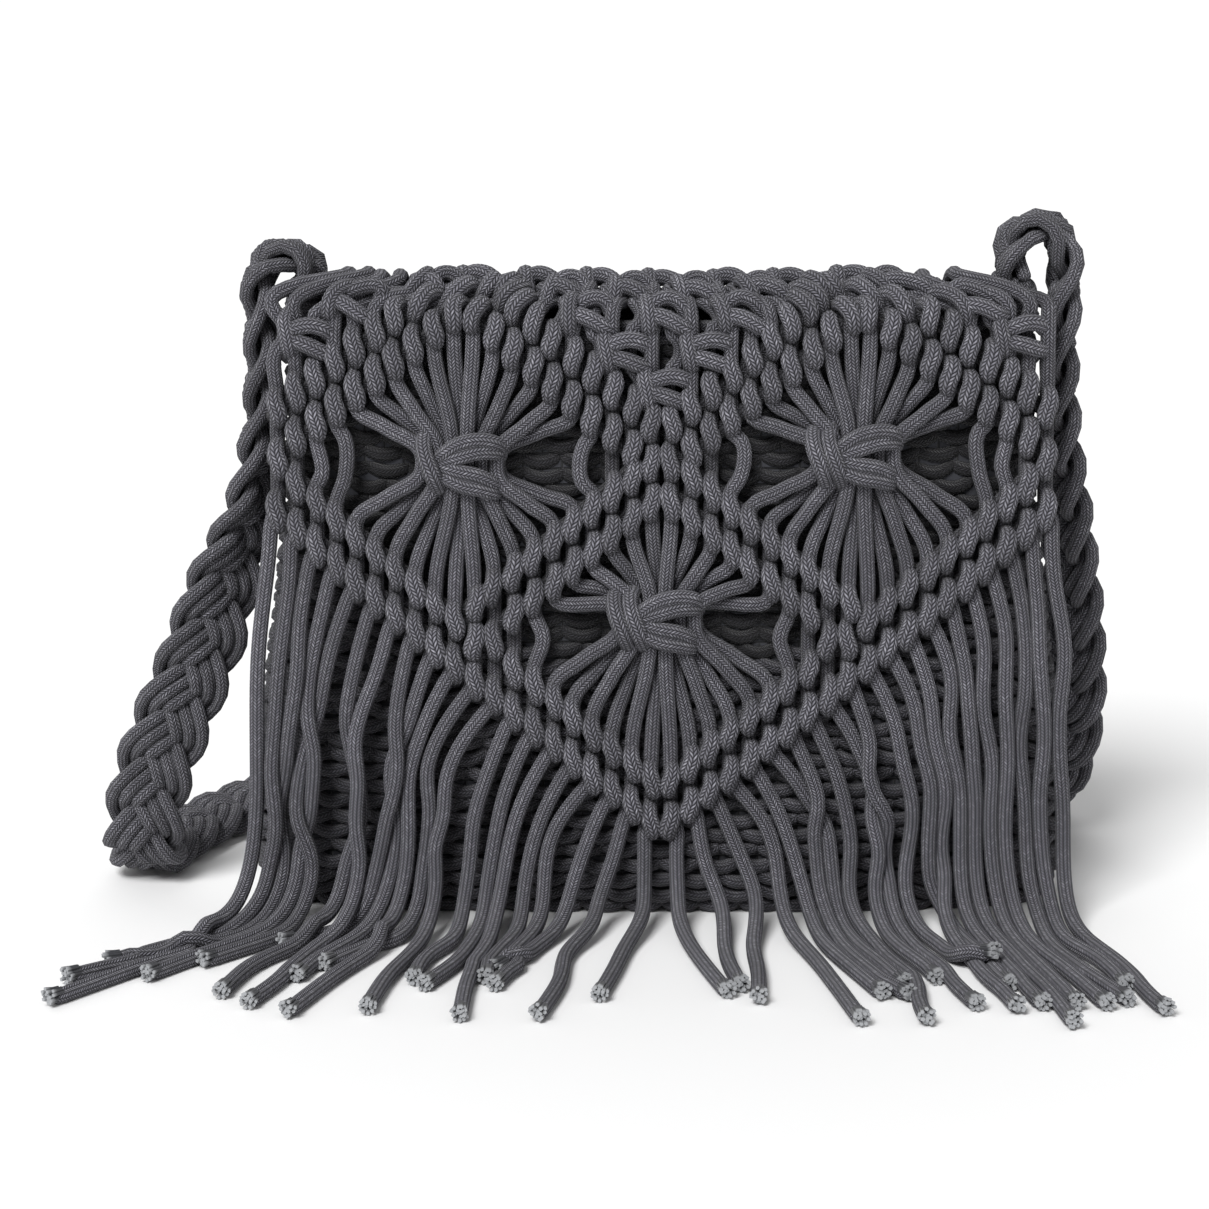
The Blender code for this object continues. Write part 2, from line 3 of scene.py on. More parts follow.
import bmesh
import bpy
import numpy as np
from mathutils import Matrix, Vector


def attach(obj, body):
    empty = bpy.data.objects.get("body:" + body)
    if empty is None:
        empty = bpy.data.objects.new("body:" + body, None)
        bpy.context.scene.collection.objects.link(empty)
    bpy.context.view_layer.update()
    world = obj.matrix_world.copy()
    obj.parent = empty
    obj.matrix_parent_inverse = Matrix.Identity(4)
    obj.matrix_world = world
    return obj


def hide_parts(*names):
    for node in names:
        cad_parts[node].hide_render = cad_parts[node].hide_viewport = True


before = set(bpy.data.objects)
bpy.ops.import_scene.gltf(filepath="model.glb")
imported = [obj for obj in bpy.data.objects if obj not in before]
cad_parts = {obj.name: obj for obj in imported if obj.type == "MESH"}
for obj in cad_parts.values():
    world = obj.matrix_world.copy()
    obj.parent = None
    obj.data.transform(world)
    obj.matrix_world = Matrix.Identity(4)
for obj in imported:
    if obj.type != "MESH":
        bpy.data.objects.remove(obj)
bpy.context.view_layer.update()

mm = 0.001
body = "root"
cordRadius = 2.6 * mm  # half of the 5.2 mm braided cord


# Camera: straight from the front, a little above, as a shop photo is taken
camera = {
    "aim": (-0.0190, -0.030, 0.1095),
    "distance": 1.22,
    "elevation": 13.0,
    "lens": 109.0,
    "farthest": 20,
}


def addCamera():
    lens = bpy.data.cameras.new("front camera")
    lens.lens = camera["lens"]
    lens.clip_end = camera["farthest"]
    obj = bpy.data.objects.new("front camera", lens)
    bpy.context.scene.collection.objects.link(obj)
    tilt = math.radians(camera["elevation"])
    away = Vector((0, -math.cos(tilt), math.sin(tilt))) * camera["distance"]
    obj.location = Vector(camera["aim"]) + away
    obj.rotation_euler = (math.pi / 2 - tilt, 0, 0)
    bpy.context.scene.camera = obj


addCamera()
print("camera set")


# Node helper, used for geometry trees and for materials alike
def addNode(tree, kind, settings=None, inputs=None):
    node = tree.nodes.new(kind)
    for name, value in (settings or {}).items():
        setattr(node, name, value)
    for key, value in (inputs or {}).items():
        socket = node.inputs[key]
        if isinstance(value, bpy.types.NodeSocket):
            tree.links.new(value, socket)
        else:
            socket.default_value = value
    return node


def newMaterial(name, surface):
    # what is the same all over the surface is set on the shader's own sockets
    material = bpy.data.materials.new(name)
    material.use_nodes = True
    shader = material.node_tree.nodes["Principled BSDF"]
    for socket, value in surface.items():
        shader.inputs[socket].default_value = value
    return material, material.node_tree, shader


def linear(hexColour):
    # sRGB hex to the linear colour that a shader takes
    parts = [int(hexColour[i:i + 2], 16) / 255 for i in (1, 3, 5)]
    return (*[c / 12.92 if c <= 0.04045 else ((c + 0.055) / 1.055) ** 2.4 for c in parts], 1)


# Braided cotton cord: dyed yarns plaited round a core, matt and slightly fuzzy. It gives the
# eye twelve columns of slanting stitches, each 1.4 mm wide and 1.1 mm long, parted by grooves
# painted nearly black as painted shade; the tops of the stitches are painted pale, partly as wear
# and partly as painted highlight, some more than others.
braid = {
    "columns": 12,
    "stitchLength": 1.1 * mm,  # from one stitch to the next along the cord
    "slant": 1.15,  # how many stitches one runs along while it crosses its column
    "relief": 0.6 * mm,
    "edge": 0.3,  # below 1: a stitch is flat across and drops at its sides
    "crown": 1.1,  # its roundness along the cord
    # each stitch's top is at least this pale: partly wear, partly painted highlight
    "leastPaleTop": 0.62,
    "paleTopFocus": 1.5,  # above 1: the pale part is smaller
    # painted shade, nearly black, in the grooves between the stitches
    "grooveShade": "#0c0c0d",
    "yarn": "#52515a",
    "wornAndHighlitYarn": "#a3a2ab",
    "patchScale": 38.0,
    "baseTone": 0.75,  # of a cord with a shade of 0
    "toneRange": 0.5,  # added for a shade of 1
    "surface": {"Roughness": 0.93, "Sheen Weight": 0.12, "Sheen Roughness": 0.5,
                "Specular IOR Level": 0.25},
}


def braidedCotton(name, look):
    material, tree, shader = newMaterial(name, look["surface"])
    place = addNode(tree, "ShaderNodeUVMap", {"uv_map": "braid"})
    split = addNode(tree, "ShaderNodeSeparateXYZ", None, {0: place.outputs[0]})
    solid = addNode(tree, "ShaderNodeTexCoord")
    patches = addNode(tree, "ShaderNodeTexNoise", None,
                      {"Vector": solid.outputs["Object"], "Scale": look["patchScale"], "Detail": 3.0})
    shade = addNode(tree, "ShaderNodeAttribute", {"attribute_name": "shade"})
    cell = addNode(tree, "ShaderNodeCombineXYZ")
    speckle = addNode(tree, "ShaderNodeTexWhiteNoise", {"noise_dimensions": "2D"},
                      {"Vector": cell.outputs[0]})
    value = {"around": split.outputs[0], "along": split.outputs[1], "speckle": speckle.outputs[0],
             "patches": patches.outputs[0], "shade": shade.outputs["Fac"]}
    steps = (  # a name for the result, the operation and what it takes
        # the column of the braid that this point lies in, and how far across it
        ("turned", "MULTIPLY", "around", look["columns"]),
        ("column", "FLOOR", "turned"),
        ("across", "FRACT", "turned"),
        # neighbouring columns slant opposite ways and are half a stitch apart
        ("odd", "FLOORED_MODULO", "column", 2.0),
        ("lean", "MULTIPLY_ADD", "odd", 2.0, -1.0),
        ("leaning", "MULTIPLY", "across", "lean"),
        ("slanted", "MULTIPLY", "leaning", look["slant"]),
        ("straight", "DIVIDE", "along", look["stitchLength"]),
        ("offset", "MULTIPLY", "odd", 0.5),
        ("joined", "ADD", "straight", "slanted"),
        ("stitch", "ADD", "joined", "offset"),
        ("row", "FLOOR", "stitch"),
        ("within", "FRACT", "stitch"),
        # every stitch is a small pillow: high in its middle, low at its edges
        ("alongAngle", "MULTIPLY", "within", math.pi),
        ("alongPillow", "SINE", "alongAngle"),
        ("acrossAngle", "MULTIPLY", "across", math.pi),
        ("acrossPillow", "SINE", "acrossAngle"),
        ("side", "POWER", "acrossPillow", look["edge"]),
        ("crown", "POWER", "alongPillow", look["crown"]),
        ("pillow", "MULTIPLY", "crown", "side"),
        # its top is painted paler, partly as wear and partly as painted highlight, on some stitches more
        # than on others
        ("top", "MULTIPLY", "alongPillow", "acrossPillow"),
        ("paleChance", "MAXIMUM", "speckle", look["leastPaleTop"]),
        ("rubbedAndHighlit", "MULTIPLY", "top", "paleChance"),
        ("wornAndHighlit", "POWER", "rubbedAndHighlit", look["paleTopFocus"]),
        # every cord has a tone of its own, and each one is patchy along its length; the shade attribute
        # also carries painted shade where cords lie under others or under the flap
        ("cordTone", "MULTIPLY_ADD", "shade", look["toneRange"], look["baseTone"]),
        ("patchTone", "MULTIPLY_ADD", "patches", look["toneRange"], look["baseTone"]),
        ("tone", "MULTIPLY", "cordTone", "patchTone"),
    )
    for key, operation, *taken in steps:
        inputs = {i: value.get(item, item) for i, item in enumerate(taken)}
        value[key] = addNode(tree, "ShaderNodeMath", {"operation": operation}, inputs).outputs[0]
    tree.links.new(value["column"], cell.inputs[0])
    tree.links.new(value["row"], cell.inputs[1])
    # the yarn's dyed colour, mixed towards painted shade in the grooves between the stitches
    dyed = addNode(tree, "ShaderNodeMix", {"data_type": "RGBA"},
                   {0: value["pillow"], 6: linear(look["grooveShade"]), 7: linear(look["yarn"])})
    wornAndHighlit = addNode(tree, "ShaderNodeMix", {"data_type": "RGBA"},
                   {0: value["wornAndHighlit"], 6: dyed.outputs[2], 7: linear(look["wornAndHighlitYarn"])})
    toned = addNode(tree, "ShaderNodeVectorMath", {"operation": "SCALE"},
                    {0: wornAndHighlit.outputs[2], "Scale": value["tone"]})
    bump = addNode(tree, "ShaderNodeBump", None,
                   {"Height": value["pillow"], "Distance": look["relief"], "Strength": 1.0})
    tree.links.new(toned.outputs[0], shader.inputs["Base Color"])
    tree.links.new(bump.outputs[0], shader.inputs["Normal"])
    return material


# Cut yarn ends: the same cotton opened up, paler where the dye did not reach the core
cutEnds = {
    "dyed": "#2c2d32",
    "core": "#9fa1a4",
    "paleFrom": 0.55,  # of a yarn's length
    "surface": {"Roughness": 0.95, "Sheen Weight": 0.3},
}


def cutYarn(name, look):
    material, tree, shader = newMaterial(name, look["surface"])
    tip = addNode(tree, "ShaderNodeAttribute", {"attribute_name": "tip"})
    ramp = addNode(tree, "ShaderNodeMapRange", None, {0: tip.outputs["Fac"], 1: look["paleFrom"], 2: 1.0})
    colours = addNode(tree, "ShaderNodeMix", {"data_type": "RGBA"},
                      {0: ramp.outputs[0], 6: linear(look["dyed"]), 7: linear(look["core"])})
    tree.links.new(colours.outputs[2], shader.inputs["Base Color"])
    return material


# The pouch and the strap are a little darker than the flap, as the photo has them
pouchLook = {**braid, "yarn": "#434249", "wornAndHighlitYarn": "#7b7a82"}
strapLook = {**braid, "yarn": "#4c4b53"}
cotton = braidedCotton("braided cotton cord", braid)
pouchCotton = braidedCotton("braided cotton cord of the pouch", pouchLook)
strapCotton = braidedCotton("braided cotton cord of the strap", strapLook)
yarnEnds = cutYarn("cut cotton yarn", cutEnds)
print("materials made")


# Paths
def evenly(line, spacing):
    # points at equal steps along a line of any number of columns; the first three are the place
    steps = np.linalg.norm(np.diff(line[:, :3], axis=0), axis=1)
    length = np.concatenate([[0], np.cumsum(steps)])
    count = max(int(round(length[-1] / spacing)), 2)
    places = np.linspace(0, length[-1], count + 1)
    return np.stack([np.interp(places, length, column) for column in line.T], axis=1)


def smoothPath(stops, spacing, steps=8):
    # a smooth curve through the stops, then even points on it
    p = np.asarray(stops, float)
    gap = np.maximum(np.linalg.norm(np.diff(p[:, :3], axis=0), axis=1), 1e-9)
    run = np.diff(p, axis=0) / gap[:, None]
    slope = np.empty_like(p)
    slope[0], slope[-1] = run[0], run[-1]
    weight = (gap[:-1] + gap[1:])[:, None]
    slope[1:-1] = (run[:-1] * gap[1:, None] + run[1:] * gap[:-1, None]) / weight
    t = np.linspace(0, 1, steps, endpoint=False)[:, None]
    fine = []
    for i, size in enumerate(gap):
        ends = (1 + 2 * t) * (1 - t) ** 2 * p[i] + t * t * (3 - 2 * t) * p[i + 1]
        bend = t * (1 - t) ** 2 * slope[i] * size - t * t * (1 - t) * slope[i + 1] * size
        fine.append(ends + bend)
    return evenly(np.vstack([*fine, p[-1:]]), spacing)


capShape = ((1.0, 0.0), (0.86, 0.51), (0.5, 0.87))  # out and wide, as shares of a cord's radius
pointRadius = 2e-7  # a ring this small is welded to one point
weldDistance = 1e-6


def roundEnds(points, girth):
    # closes a cord with a rounded end at each side
    girth = np.broadcast_to(girth, len(points)).astype(float)
    parts, sizes = [points], [girth]
    for end, inner in ((0, 1), (-1, -2)):
        out = points[end] - points[inner]
        out = out / max(np.linalg.norm(out), 1e-9) * girth[end]
        cap = [points[end] + out * reach for reach, _ in capShape]
        size = [max(girth[end] * wide, pointRadius) for _, wide in capShape]
        if end:
            parts.append(np.array(cap[::-1]))
            sizes.append(np.array(size[::-1]))
        else:
            parts.insert(0, np.array(cap))
            sizes.insert(0, np.array(size))
    return np.vstack(parts), np.concatenate(sizes)


def makeCord(points, girth=cordRadius, shade=0.5):
    shade = np.broadcast_to(shade, len(points))
    points, girth = roundEnds(np.asarray(points, float)[:, :3], girth)
    return {"points": points, "girth": girth, "shade": np.pad(shade, len(capShape), mode="edge")}


def squaredRound(angle, power):
    # across and deep on a circle of radius 1 that is pressed towards a square
    return [np.sign(v) * np.abs(v) ** power for v in (np.cos(angle), np.sin(angle))]


# Geometry Nodes: how every tree begins, with named inputs, and how it ends
def newTree(name, inputs):
    tree = bpy.data.node_groups.new(name, "GeometryNodeTree")
    for label, kind in inputs.items():
        tree.interface.new_socket(label, in_out="INPUT", socket_type="NodeSocket" + kind)
    tree.interface.new_socket("Result", in_out="OUTPUT", socket_type="NodeSocketGeometry")
    return tree, addNode(tree, "NodeGroupInput").outputs


def endTree(tree, geometry, material):
    real = addNode(tree, "GeometryNodeRealizeInstances", None, {"Geometry": geometry})
    painted = addNode(tree, "GeometryNodeSetMaterial", None,
                      {"Geometry": real.outputs[0], "Material": material})
    addNode(tree, "NodeGroupOutput", None, {0: painted.outputs[0]})


# Sweeps a round section along every chain of edges and lays the braid's map
def cordTree():
    tree, given = newTree("sweep cords", {"Guides": "Geometry", "Sides": "Int", "Weld": "Float",
                                          "Material": "Material"})
    guides = addNode(tree, "GeometryNodeMeshToCurve", None, {"Mesh": given["Guides"]})
    spline = addNode(tree, "GeometryNodeSplineParameter")
    along = addNode(tree, "GeometryNodeStoreNamedAttribute", None,
                    {"Geometry": guides.outputs[0], "Name": "along", "Value": spline.outputs["Length"]})
    # an open ring with one point more than it has sides, so that the map has a clean seam
    points = addNode(tree, "FunctionNodeIntegerMath", {"operation": "ADD"}, {0: given["Sides"], 1: 1})
    ring = addNode(tree, "GeometryNodeCurveArc", {"mode": "RADIUS"},
                   {"Resolution": points.outputs[0], "Radius": 1.0, "Start Angle": 0.0,
                    "Sweep Angle": math.tau})
    around = addNode(tree, "GeometryNodeStoreNamedAttribute", None,
                     {"Geometry": ring.outputs[0], "Name": "around", "Value": spline.outputs["Factor"]})
    kept = {key: addNode(tree, "GeometryNodeInputNamedAttribute", None, {"Name": key}).outputs[0]
            for key in ("girth", "around", "along", "phase")}
    tube = addNode(tree, "GeometryNodeCurveToMesh", None,
                   {"Curve": along.outputs[0], "Profile Curve": around.outputs[0],
                    "Scale": kept["girth"]})
    shifted = addNode(tree, "ShaderNodeMath", None, {0: kept["along"], 1: kept["phase"]})
    place = addNode(tree, "ShaderNodeCombineXYZ", None, {0: kept["around"], 1: shifted.outputs[0]})
    mapped = addNode(tree, "GeometryNodeStoreNamedAttribute",
                     {"data_type": "FLOAT2", "domain": "CORNER"},
                     {"Geometry": tube.outputs[0], "Name": "braid", "Value": place.outputs[0]})
    welded = addNode(tree, "GeometryNodeMergeByDistance", None,
                     {"Geometry": mapped.outputs[0], "Distance": given["Weld"]})
    smooth = addNode(tree, "GeometryNodeSetShadeSmooth", None, {"Geometry": welded.outputs[0]})
    endTree(tree, smooth.outputs[0], given["Material"])
    return tree


sweepTree = cordTree()


def setInput(modifier, name, value):
    sockets = modifier.node_group.interface.items_tree
    identifier = next(s.identifier for s in sockets if s.in_out == "INPUT" and s.name == name)
    modifier[identifier] = value


def plainMesh(guide, name):
    # the evaluated result as a mesh of its own, with its faces outwards; the guide goes
    graph = bpy.context.evaluated_depsgraph_get()
    mesh = bpy.data.meshes.new_from_object(guide.evaluated_get(graph), preserve_all_data_layers=True,
                                           depsgraph=graph)
    mesh.name = name
    bpy.data.objects.remove(guide)
    bm = bmesh.new()
    bm.from_mesh(mesh)
    if bm.calc_volume(signed=True) < 0:
        bmesh.ops.reverse_faces(bm, faces=bm.faces)
        bm.to_mesh(mesh)
    bm.free()
    for spare in ("girth", "along", "around", "phase"):
        if spare in mesh.attributes:
            mesh.attributes.remove(mesh.attributes[spare])
    return mesh


def addPiece(name, mesh):
    obj = bpy.data.objects.new(name, mesh)
    bpy.context.scene.collection.objects.link(obj)
    return obj


def sweepCords(name, cords, sides, material):
    rng = np.random.default_rng(len(cords))
    mesh = bpy.data.meshes.new(name + " guides")
    counts = [len(c["points"]) for c in cords]
    starts = np.concatenate([[0], np.cumsum(counts)])
    mesh.vertices.add(int(starts[-1]))
    places = np.vstack([c["points"] for c in cords])
    mesh.vertices.foreach_set("co", places.astype(np.float32).ravel())
    edges = np.concatenate([np.arange(n - 1)[:, None] + [0, 1] + s for n, s in zip(counts, starts)])
    mesh.edges.add(len(edges))
    mesh.edges.foreach_set("vertices", edges.astype(np.int32).ravel())
    values = {
        "girth": np.concatenate([c["girth"] for c in cords]),
        "shade": np.concatenate([c["shade"] for c in cords]),
        "phase": np.repeat(rng.uniform(0, 1, len(cords)), counts),
    }
    for key, value in values.items():
        mesh.attributes.new(key, "FLOAT", "POINT").data.foreach_set("value", value.astype(np.float32))
    guide = addPiece(name + " guides", mesh)
    sweep = guide.modifiers.new("sweep cords", "NODES")
    sweep.node_group = sweepTree
    setInput(sweep, "Sides", sides)
    setInput(sweep, "Weld", weldDistance)
    setInput(sweep, "Material", material)
    return addPiece(name, plainMesh(guide, name))


def dress(piece, slot, *nodes):
    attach(piece, body)
    if nodes:
        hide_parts(*nodes)


# Pouch: the hollow body. Its plan is a rounded rectangle that swells towards the base.
pouch = {
    "width": 270 * mm,
    "depth": 60 * mm,
    "height": 205 * mm,
    "wall": 5.6 * mm,
    "squareness": 3.0,
    "rimSag": 6 * mm,
    "sections": (  # up, width, depth, as shares
        (0.00, 0.94, 0.66),
        (0.03, 1.00, 0.86),
        (0.09, 1.03, 0.97),
        (0.22, 1.03, 1.00),
        (0.42, 0.99, 0.97),
        (0.62, 0.955, 0.88),
        (0.82, 0.94, 0.76),
        (1.00, 0.94, 0.66),
    ),
    "rowPitch": 5.3 * mm,
    "loopPitch": 13.2 * mm,
    "loopDroop": 2.6 * mm,
    "loopRadius": 2.45 * mm,
    "loopReach": (0.50, 0.58),  # of the pitch, to each side of a loop's middle
    "loopSink": 2.4 * mm,
    "loopBow": 1.4 * mm,  # how much its middle stands out
    "loopDive": 1.2 * mm,  # how much deeper its ends go
    "firstRow": 3.0 * mm,
    "lastRowBelowRim": 3.5 * mm,
    "openTone": (0.1, 0.8),
    # under the flap the loops are pressed in and have an assumed darker tone, painted shade, because
    # the photo shows the gaps of the flap nearly black
    "coveredAbove": 75 * mm,
    "coveredSlope": 0.42,
    "coveredSink": 1.6 * mm,
    "coveredPaintedShade": (-1.1, -0.8),
    "rimCords": ((-1.8 * mm, 2.5 * mm), (1.6 * mm, 3.1 * mm)),  # up from the rim, and inwards
    "rimCordRadius": 2.4 * mm,
    "loopSides": 7,
    "wallSides": 72,
    "wallRings": 24,
}
rimMiddle = pouch["height"] - pouch["rimSag"]
topHalfWidth = pouch["width"] * pouch["sections"][-1][1] / 2
topHalfDepth = pouch["depth"] * pouch["sections"][-1][2] / 2
sectionLine = smoothPath(pouch["sections"], 0.01)


def sectionAt(up):
    return [np.interp(up, sectionLine[:, 0], sectionLine[:, k]) for k in (1, 2)]


def planShare(across):
    power = pouch["squareness"]
    return (1 - np.clip(np.abs(across), 0, 1) ** power) ** (1 / power)


def rimLift(across):
    return pouch["rimSag"] * np.clip(np.abs(across), 0, 1) ** 2


def pouchRing(height, inset=0.0, points=240):
    # a closed ring round the pouch at one height, its outward directions and its running length
    width, depth = sectionAt(height / rimMiddle)
    angle = np.linspace(0, math.tau, points + 1) + math.pi / 2
    x, y = squaredRound(angle, 2 / pouch["squareness"])
    x = x * width * pouch["width"] / 2
    y = y * depth * pouch["depth"] / 2
    spacing = np.hypot(np.diff(x), np.diff(y)).sum() / points
    ring = evenly(np.stack([x, y, np.zeros_like(x)], axis=1), spacing)
    ring[-1] = ring[0]
    tangent = np.roll(ring[:-1], -1, axis=0) - np.roll(ring[:-1], 1, axis=0)
    tangent = np.vstack([tangent, tangent[:1]])
    outward = np.stack([tangent[:, 1], -tangent[:, 0], np.zeros(len(ring))], axis=1)
    outward /= np.linalg.norm(outward, axis=1)[:, None]
    length = np.linspace(0, 1, len(ring)) * np.linalg.norm(np.diff(ring, axis=0), axis=1).sum()
    ring = ring - outward * inset
    ring[:, 2] = height + rimLift(ring[:, 0] / topHalfWidth) * min(height / rimMiddle, 1) ** 2
    return ring, outward, length


def onRing(ring, place):
    points, outward, length = ring
    place = np.mod(place, length[-1])
    pick = [np.interp(place, length, column) for column in points.T]
    out = [np.interp(place, length, column) for column in outward.T]
    return np.stack(pick, axis=1), np.stack(out, axis=1)


def makePouchRows():
    # brick-like rows of drooping loops, all round; each loop dives in at both ends
    rng = np.random.default_rng(3)
    front, back = [], []
    t = np.linspace(-1, 1, 7)
    rows = int((rimMiddle - pouch["lastRowBelowRim"]) / pouch["rowPitch"])
    for row in range(rows + 1):
        ring = pouchRing(pouch["firstRow"] + row * pouch["rowPitch"])
        count = int(round(ring[2][-1] / pouch["loopPitch"]))
        pitch = ring[2][-1] / count
        for k in range(count):
            middle = (k + 0.5 * (row % 2)) * pitch + rng.normal(0, 0.35 * mm)
            reach = pitch * rng.uniform(*pouch["loopReach"])
            points, outward = onRing(ring, middle + t * reach)
            droop = pouch["loopDroop"] * rng.uniform(0.8, 1.2)
            bow = pouch["loopBow"] * rng.uniform(0.7, 1.25)
            lift = -pouch["loopSink"] + (1 - t * t) * bow - np.abs(t) ** 6 * pouch["loopDive"]
            points = points + outward * lift[:, None]
            points[:, 2] += droop * (t * t - 0.45) + rng.normal(0, 0.25 * mm)
            points[:, 2] = np.maximum(points[:, 2], pouch["loopRadius"])
            x, y, z = points[3]
            covered = y < 0 and z > pouch["coveredAbove"] + abs(x) * pouch["coveredSlope"]
            if covered:
                points = points - outward * pouch["coveredSink"]
            # loops under the flap get a tone of painted shade, the others a tone at random
            tone = rng.uniform(*pouch["coveredPaintedShade" if covered else "openTone"])
            loop = makeCord(points, pouch["loopRadius"] * (1 - 0.12 * t * t), tone)
            (front if y < 0 else back).append(loop)
    # two more cords run round the rim
    for up, inset in pouch["rimCords"]:
        ring = pouchRing(rimMiddle + up, inset)
        back.append(makeCord(ring[0], pouch["rimCordRadius"], 0.5))
    return front, back


def makePouchWall(material):
    # the closed wall that the rows are knotted into: outside, rim, inside, floor
    bm = bmesh.new()
    sides, wall = pouch["wallSides"], pouch["wall"]
    heights = [0.4 * mm, *np.linspace(4 * mm, rimMiddle - 1 * mm, pouch["wallRings"])]
    outside = [pouchRing(h, wall / 2 + 0.1 * mm, sides)[0][:-1] for h in heights]
    inside = [pouchRing(max(h, wall), wall - 0.2 * mm, sides)[0][:-1] for h in heights[::-1]]
    loops = [[bm.verts.new(p) for p in ring] for ring in (*outside, *inside[:-1])]
    for low, high in zip(loops, loops[1:]):
        for i in range(sides):
            j = (i + 1) % sides
            bm.faces.new((low[i], high[i], high[j], low[j]))
    bm.faces.new(loops[0])
    bm.faces.new(loops[-1][::-1])
    bmesh.ops.recalc_face_normals(bm, faces=bm.faces)
    mesh = bpy.data.meshes.new("pouch_wall")
    bm.to_mesh(mesh)
    bm.free()
    mesh.shade_smooth()
    mesh.materials.append(material)
    return addPiece("pouch_wall", mesh)


# The inner face of the knotted wall: the same cotton. It gives the eye rows of flat stitches,
# of the size of the loops outside, with darker lines of painted shade between them.
insideFace = {
    "stitches": ("#3a3b41", "#303136"),
    "grooveShade": "#18191c",
    "grooveWidth": 0.7 * mm,
    "fuzzScale": 900.0,
    "fuzz": 0.3,
    "relief": 1.2 * mm,
    "reliefStrength": 0.8,
    "surface": {"Roughness": 0.95, "Sheen Weight": 0.2},
}


def knottedInside(name, look):
    material, tree, shader = newMaterial(name, look["surface"])
    place = addNode(tree, "ShaderNodeTexCoord").outputs["Object"]
    # the rows are laid straight through the bag from front to back
    mapping = addNode(tree, "ShaderNodeMapping", None, {0: place, "Rotation": (math.pi / 2, 0, 0)})
    bricks = addNode(tree, "ShaderNodeTexBrick", None,
                     {"Vector": mapping.outputs[0], "Color1": linear(look["stitches"][0]),
                      "Color2": linear(look["stitches"][1]), "Mortar": linear(look["grooveShade"]),
                      "Scale": 1.0, "Mortar Size": look["grooveWidth"], "Mortar Smooth": 1.0,
                      "Brick Width": pouch["loopPitch"], "Row Height": pouch["rowPitch"]})
    grain = addNode(tree, "ShaderNodeTexNoise", None,
                    {"Vector": place, "Scale": look["fuzzScale"], "Detail": 3.0})
    fuzz = addNode(tree, "ShaderNodeMath", {"operation": "MULTIPLY"},
                   {0: grain.outputs[0], 1: look["fuzz"]})
    height = addNode(tree, "ShaderNodeMath", {"operation": "SUBTRACT"},
                     {0: fuzz.outputs[0], 1: bricks.outputs["Fac"]})
    bump = addNode(tree, "ShaderNodeBump", None,
                   {"Height": height.outputs[0], "Distance": look["relief"],
                    "Strength": look["reliefStrength"]})
    tree.links.new(bricks.outputs["Color"], shader.inputs["Base Color"])
    tree.links.new(bump.outputs[0], shader.inputs["Normal"])
    return material


pouchFront, pouchBack = makePouchRows()
pouchWall = makePouchWall(knottedInside("knotted cotton inside", insideFace))
dress(pouchWall, "cotton_cord", "pouch")
for rowName, rowCords in (("pouch_rows_front", pouchFront), ("pouch_rows_back", pouchBack)):
    dress(sweepCords(rowName, rowCords, pouch["loopSides"], pouchCotton), "cotton_cord")
print("pouch made:", len(pouchFront) + len(pouchBack), "loops")


# Flap: a chart in millimetres, x across and s down from the front of the fold, is laid on
# the drape that runs from the back rim over the mouth, down the front and along the table.
flap = {
    "sheet": 5.0 * mm,  # thickness of the knotted sheet
    "standoff": 1.2 * mm,  # from the pouch
    "rise": 12.5 * mm,  # of the fold, above the rim
    "curl": 4.0 * mm,  # how far its sides bend back to the pouch
    "bend": 12 * mm,  # radius of the turn from hanging to lying on the table
    "onTable": 80 * mm,
    "cords": 40,
    "pitch": 6.55,
    "waist": (-3.0, -22.0, 0.20),  # over the fold the flap narrows by a fifth, between the strap's knots
    "knotDrop": 41.0,  # down to the two upper medallions
    "diamond": 53.5,  # half height of a diamond of bars
    "diamondHalfWidth": 65.5,
    # how far below the edges of the diamonds each bar runs
    "bars": {"topOuter": -9.4, "topInner": 5.0, "midUpper": -2.0, "midLower": 12.0,
             "hemInner": 4.0, "hemOuter": 18.4},
    "closestRows": 9.0,  # hitches of one column that come closer become one
    "grainLength": 13.8,
    "grainRadius": 3.08,
    "grainHeight": 4.0,
    "grainSink": 0.6,
    "grainSway": 0.6,  # how far its S bends aside
    "grainTone": (0.35, 0.95),
    "lean": 0.07,  # sideways run of a grain for its length
    "cordTone": (0.3, 0.85),
    "paintedShadeFrom": -0.6,  # lift below which a cord is given painted shade
    "paintedDepthShade": 0.36,  # and how much darker that painted shade is for each mm
    # lifts of a cord in the net: inside a hitch, between close bars and where it runs free
    "inHitch": -1.6,
    "betweenBars": -2.6,
    "free": -0.8,
    "freeFrom": 20.0,  # bars that stand further apart leave their cords free
    "leaderLift": -3.2,
    "leaderTone": (0.1, 0.4),
    "rootLift": -0.6,
    "hitchReach": 5.0,  # how far above and below its middle a hitch holds the cord in it
    "sides": 10,  # of a cord's section
}
flapHalf = flap["cords"] * flap["pitch"] / 2 * mm


